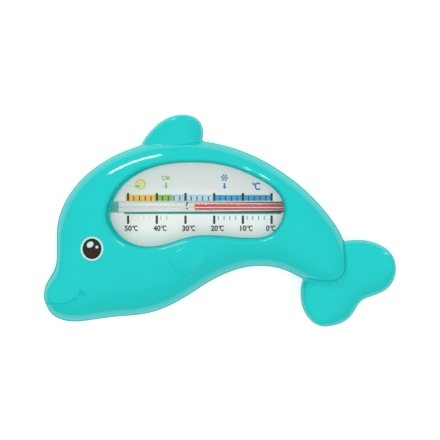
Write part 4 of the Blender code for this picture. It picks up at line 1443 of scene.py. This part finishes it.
class BATHTHERMO_OT_studio(bpy.types.Operator):
    """Set up the pale table, the soft lamps and the camera straight above the window"""

    bl_idname = "bath_thermometer.studio"
    bl_label = "Photo table"

    def execute(self, context):
        studio = context.scene.thermometer_studio
        self.table()
        self.world(context.scene)
        self.lamp("Overhead softbox", 12.0, -90.0, (0.9, 0.9), studio.fill_light)
        bpy.context.active_object.visible_glossy = False
        bpy.context.active_object.visible_transmission = False
        self.lamp("Key strip", 61.0, 114.0, (0.36, 0.07), studio.key_light)
        self.lamp("Side lamp", 56.0, 62.0, (0.16, 0.09), studio.key_light * SIDE_SHARE)
        bpy.ops.object.camera_add(
            location=(0, CAMERA_Y * MM, PARTING_HEIGHT * MM + studio.camera_distance), rotation=(0, 0, 0)
        )
        camera = bpy.context.active_object
        camera.data.lens = studio.focal_length
        camera.data.sensor_width = SENSOR_WIDTH
        camera.data.clip_end = 20.0
        context.scene.camera = camera
        context.scene.view_settings.view_transform = "Standard"
        return {"FINISHED"}

    def lamp(self, name, from_zenith, azimuth, size, power):
        """An area lamp that faces the part, placed by its angles in degrees."""
        down, round_z = math.radians(from_zenith), math.radians(azimuth)
        flat = math.sin(down)
        at = Vector((flat * math.cos(round_z), flat * math.sin(round_z), math.cos(down))) * LAMP_METRES
        deselect()
        bpy.ops.object.light_add(type="AREA", location=at)
        lamp = bpy.context.active_object
        lamp.name = lamp.data.name = name
        lamp.data.shape = "RECTANGLE"
        lamp.data.size, lamp.data.size_y = size
        lamp.data.energy = power
        lamp.rotation_euler = (-at).to_track_quat("-Z", "Y").to_euler()
        lamp.visible_camera = False

    def table(self):
        deselect()
        bpy.ops.mesh.primitive_plane_add(size=TABLE_METRES, location=(0, 0, -TABLE_DROP * MM))
        table = named("table")
        settle(table)
        material, nodes, shader, place = started("Pale table")
        skin = set_group(
            nodes, moulded_skin(), Place=place, Wave_Size=4.0, Colour=(*(TABLE_WHITE,) * 3, 1),
            Colour_Drift=0.01, Roughness=0.7,
        )
        nodes.feed(shader, "Base Color", skin.outputs["Colour"])
        nodes.feed(shader, "Roughness", skin.outputs["Roughness"])
        shader.inputs["Specular IOR Level"].default_value = 0.0
        shader.inputs["Emission Color"].default_value = (1, 1, 1, 1)
        glow = nodes.math("MULTIPLY", background_rays(nodes), TABLE_GLOW)
        nodes.feed(shader, "Emission Strength", glow)
        dress(table, material)

    def world(self, scene):
        world = bpy.data.worlds.new("Soft room")
        scene.world = world
        world.use_nodes = True
        world.cycles.sampling_method = "NONE"
        back = world.node_tree.nodes["Background"]
        back.inputs["Color"].default_value = (1, 1, 1, 1)
        back.inputs["Strength"].default_value = scene.thermometer_studio.room_light


# ---------------------------------------------------------------- panel and registration


OPERATORS = (
    BATHTHERMO_OT_shells,
    BATHTHERMO_OT_window,
    BATHTHERMO_OT_plate,
    BATHTHERMO_OT_tube,
    BATHTHERMO_OT_ticks,
    BATHTHERMO_OT_figures,
    BATHTHERMO_OT_signs,
    BATHTHERMO_OT_eye,
    BATHTHERMO_OT_studio,
)


class BATHTHERMO_PT_panel(bpy.types.Panel):
    """Buttons for the thermometer's pieces and its photo table"""

    bl_idname = "BATHTHERMO_PT_panel"
    bl_label = "Bath thermometer"
    bl_space_type = "VIEW_3D"
    bl_region_type = "UI"
    bl_category = "Bath thermometer"

    def draw(self, context):
        column = self.layout.column()
        for kind in OPERATORS:
            column.operator(kind.bl_idname)
        for group in (
            context.scene.thermometer_colours, context.scene.thermometer_shape, context.scene.thermometer_studio
        ):
            for name in group.__annotations__:
                column.prop(group, name)


CLASSES = (ThermometerColours, ThermometerShape, ThermometerStudio, *OPERATORS, BATHTHERMO_PT_panel)


def register():
    for kind in CLASSES:
        bpy.utils.register_class(kind)
    bpy.types.Scene.thermometer_colours = PointerProperty(type=ThermometerColours)
    bpy.types.Scene.thermometer_shape = PointerProperty(type=ThermometerShape)
    bpy.types.Scene.thermometer_studio = PointerProperty(type=ThermometerStudio)


def unregister():
    del bpy.types.Scene.thermometer_studio
    del bpy.types.Scene.thermometer_shape
    del bpy.types.Scene.thermometer_colours
    for kind in reversed(CLASSES):
        bpy.utils.unregister_class(kind)


def main():
    register()
    bpy.ops.bath_thermometer.studio()
    bpy.ops.bath_thermometer.shells()
    bpy.ops.bath_thermometer.window()
    bpy.ops.bath_thermometer.plate()
    bpy.ops.bath_thermometer.tube()
    bpy.ops.bath_thermometer.ticks()
    bpy.ops.bath_thermometer.figures()
    bpy.ops.bath_thermometer.signs()
    bpy.ops.bath_thermometer.eye()


if __name__ == "__main__":
    main()
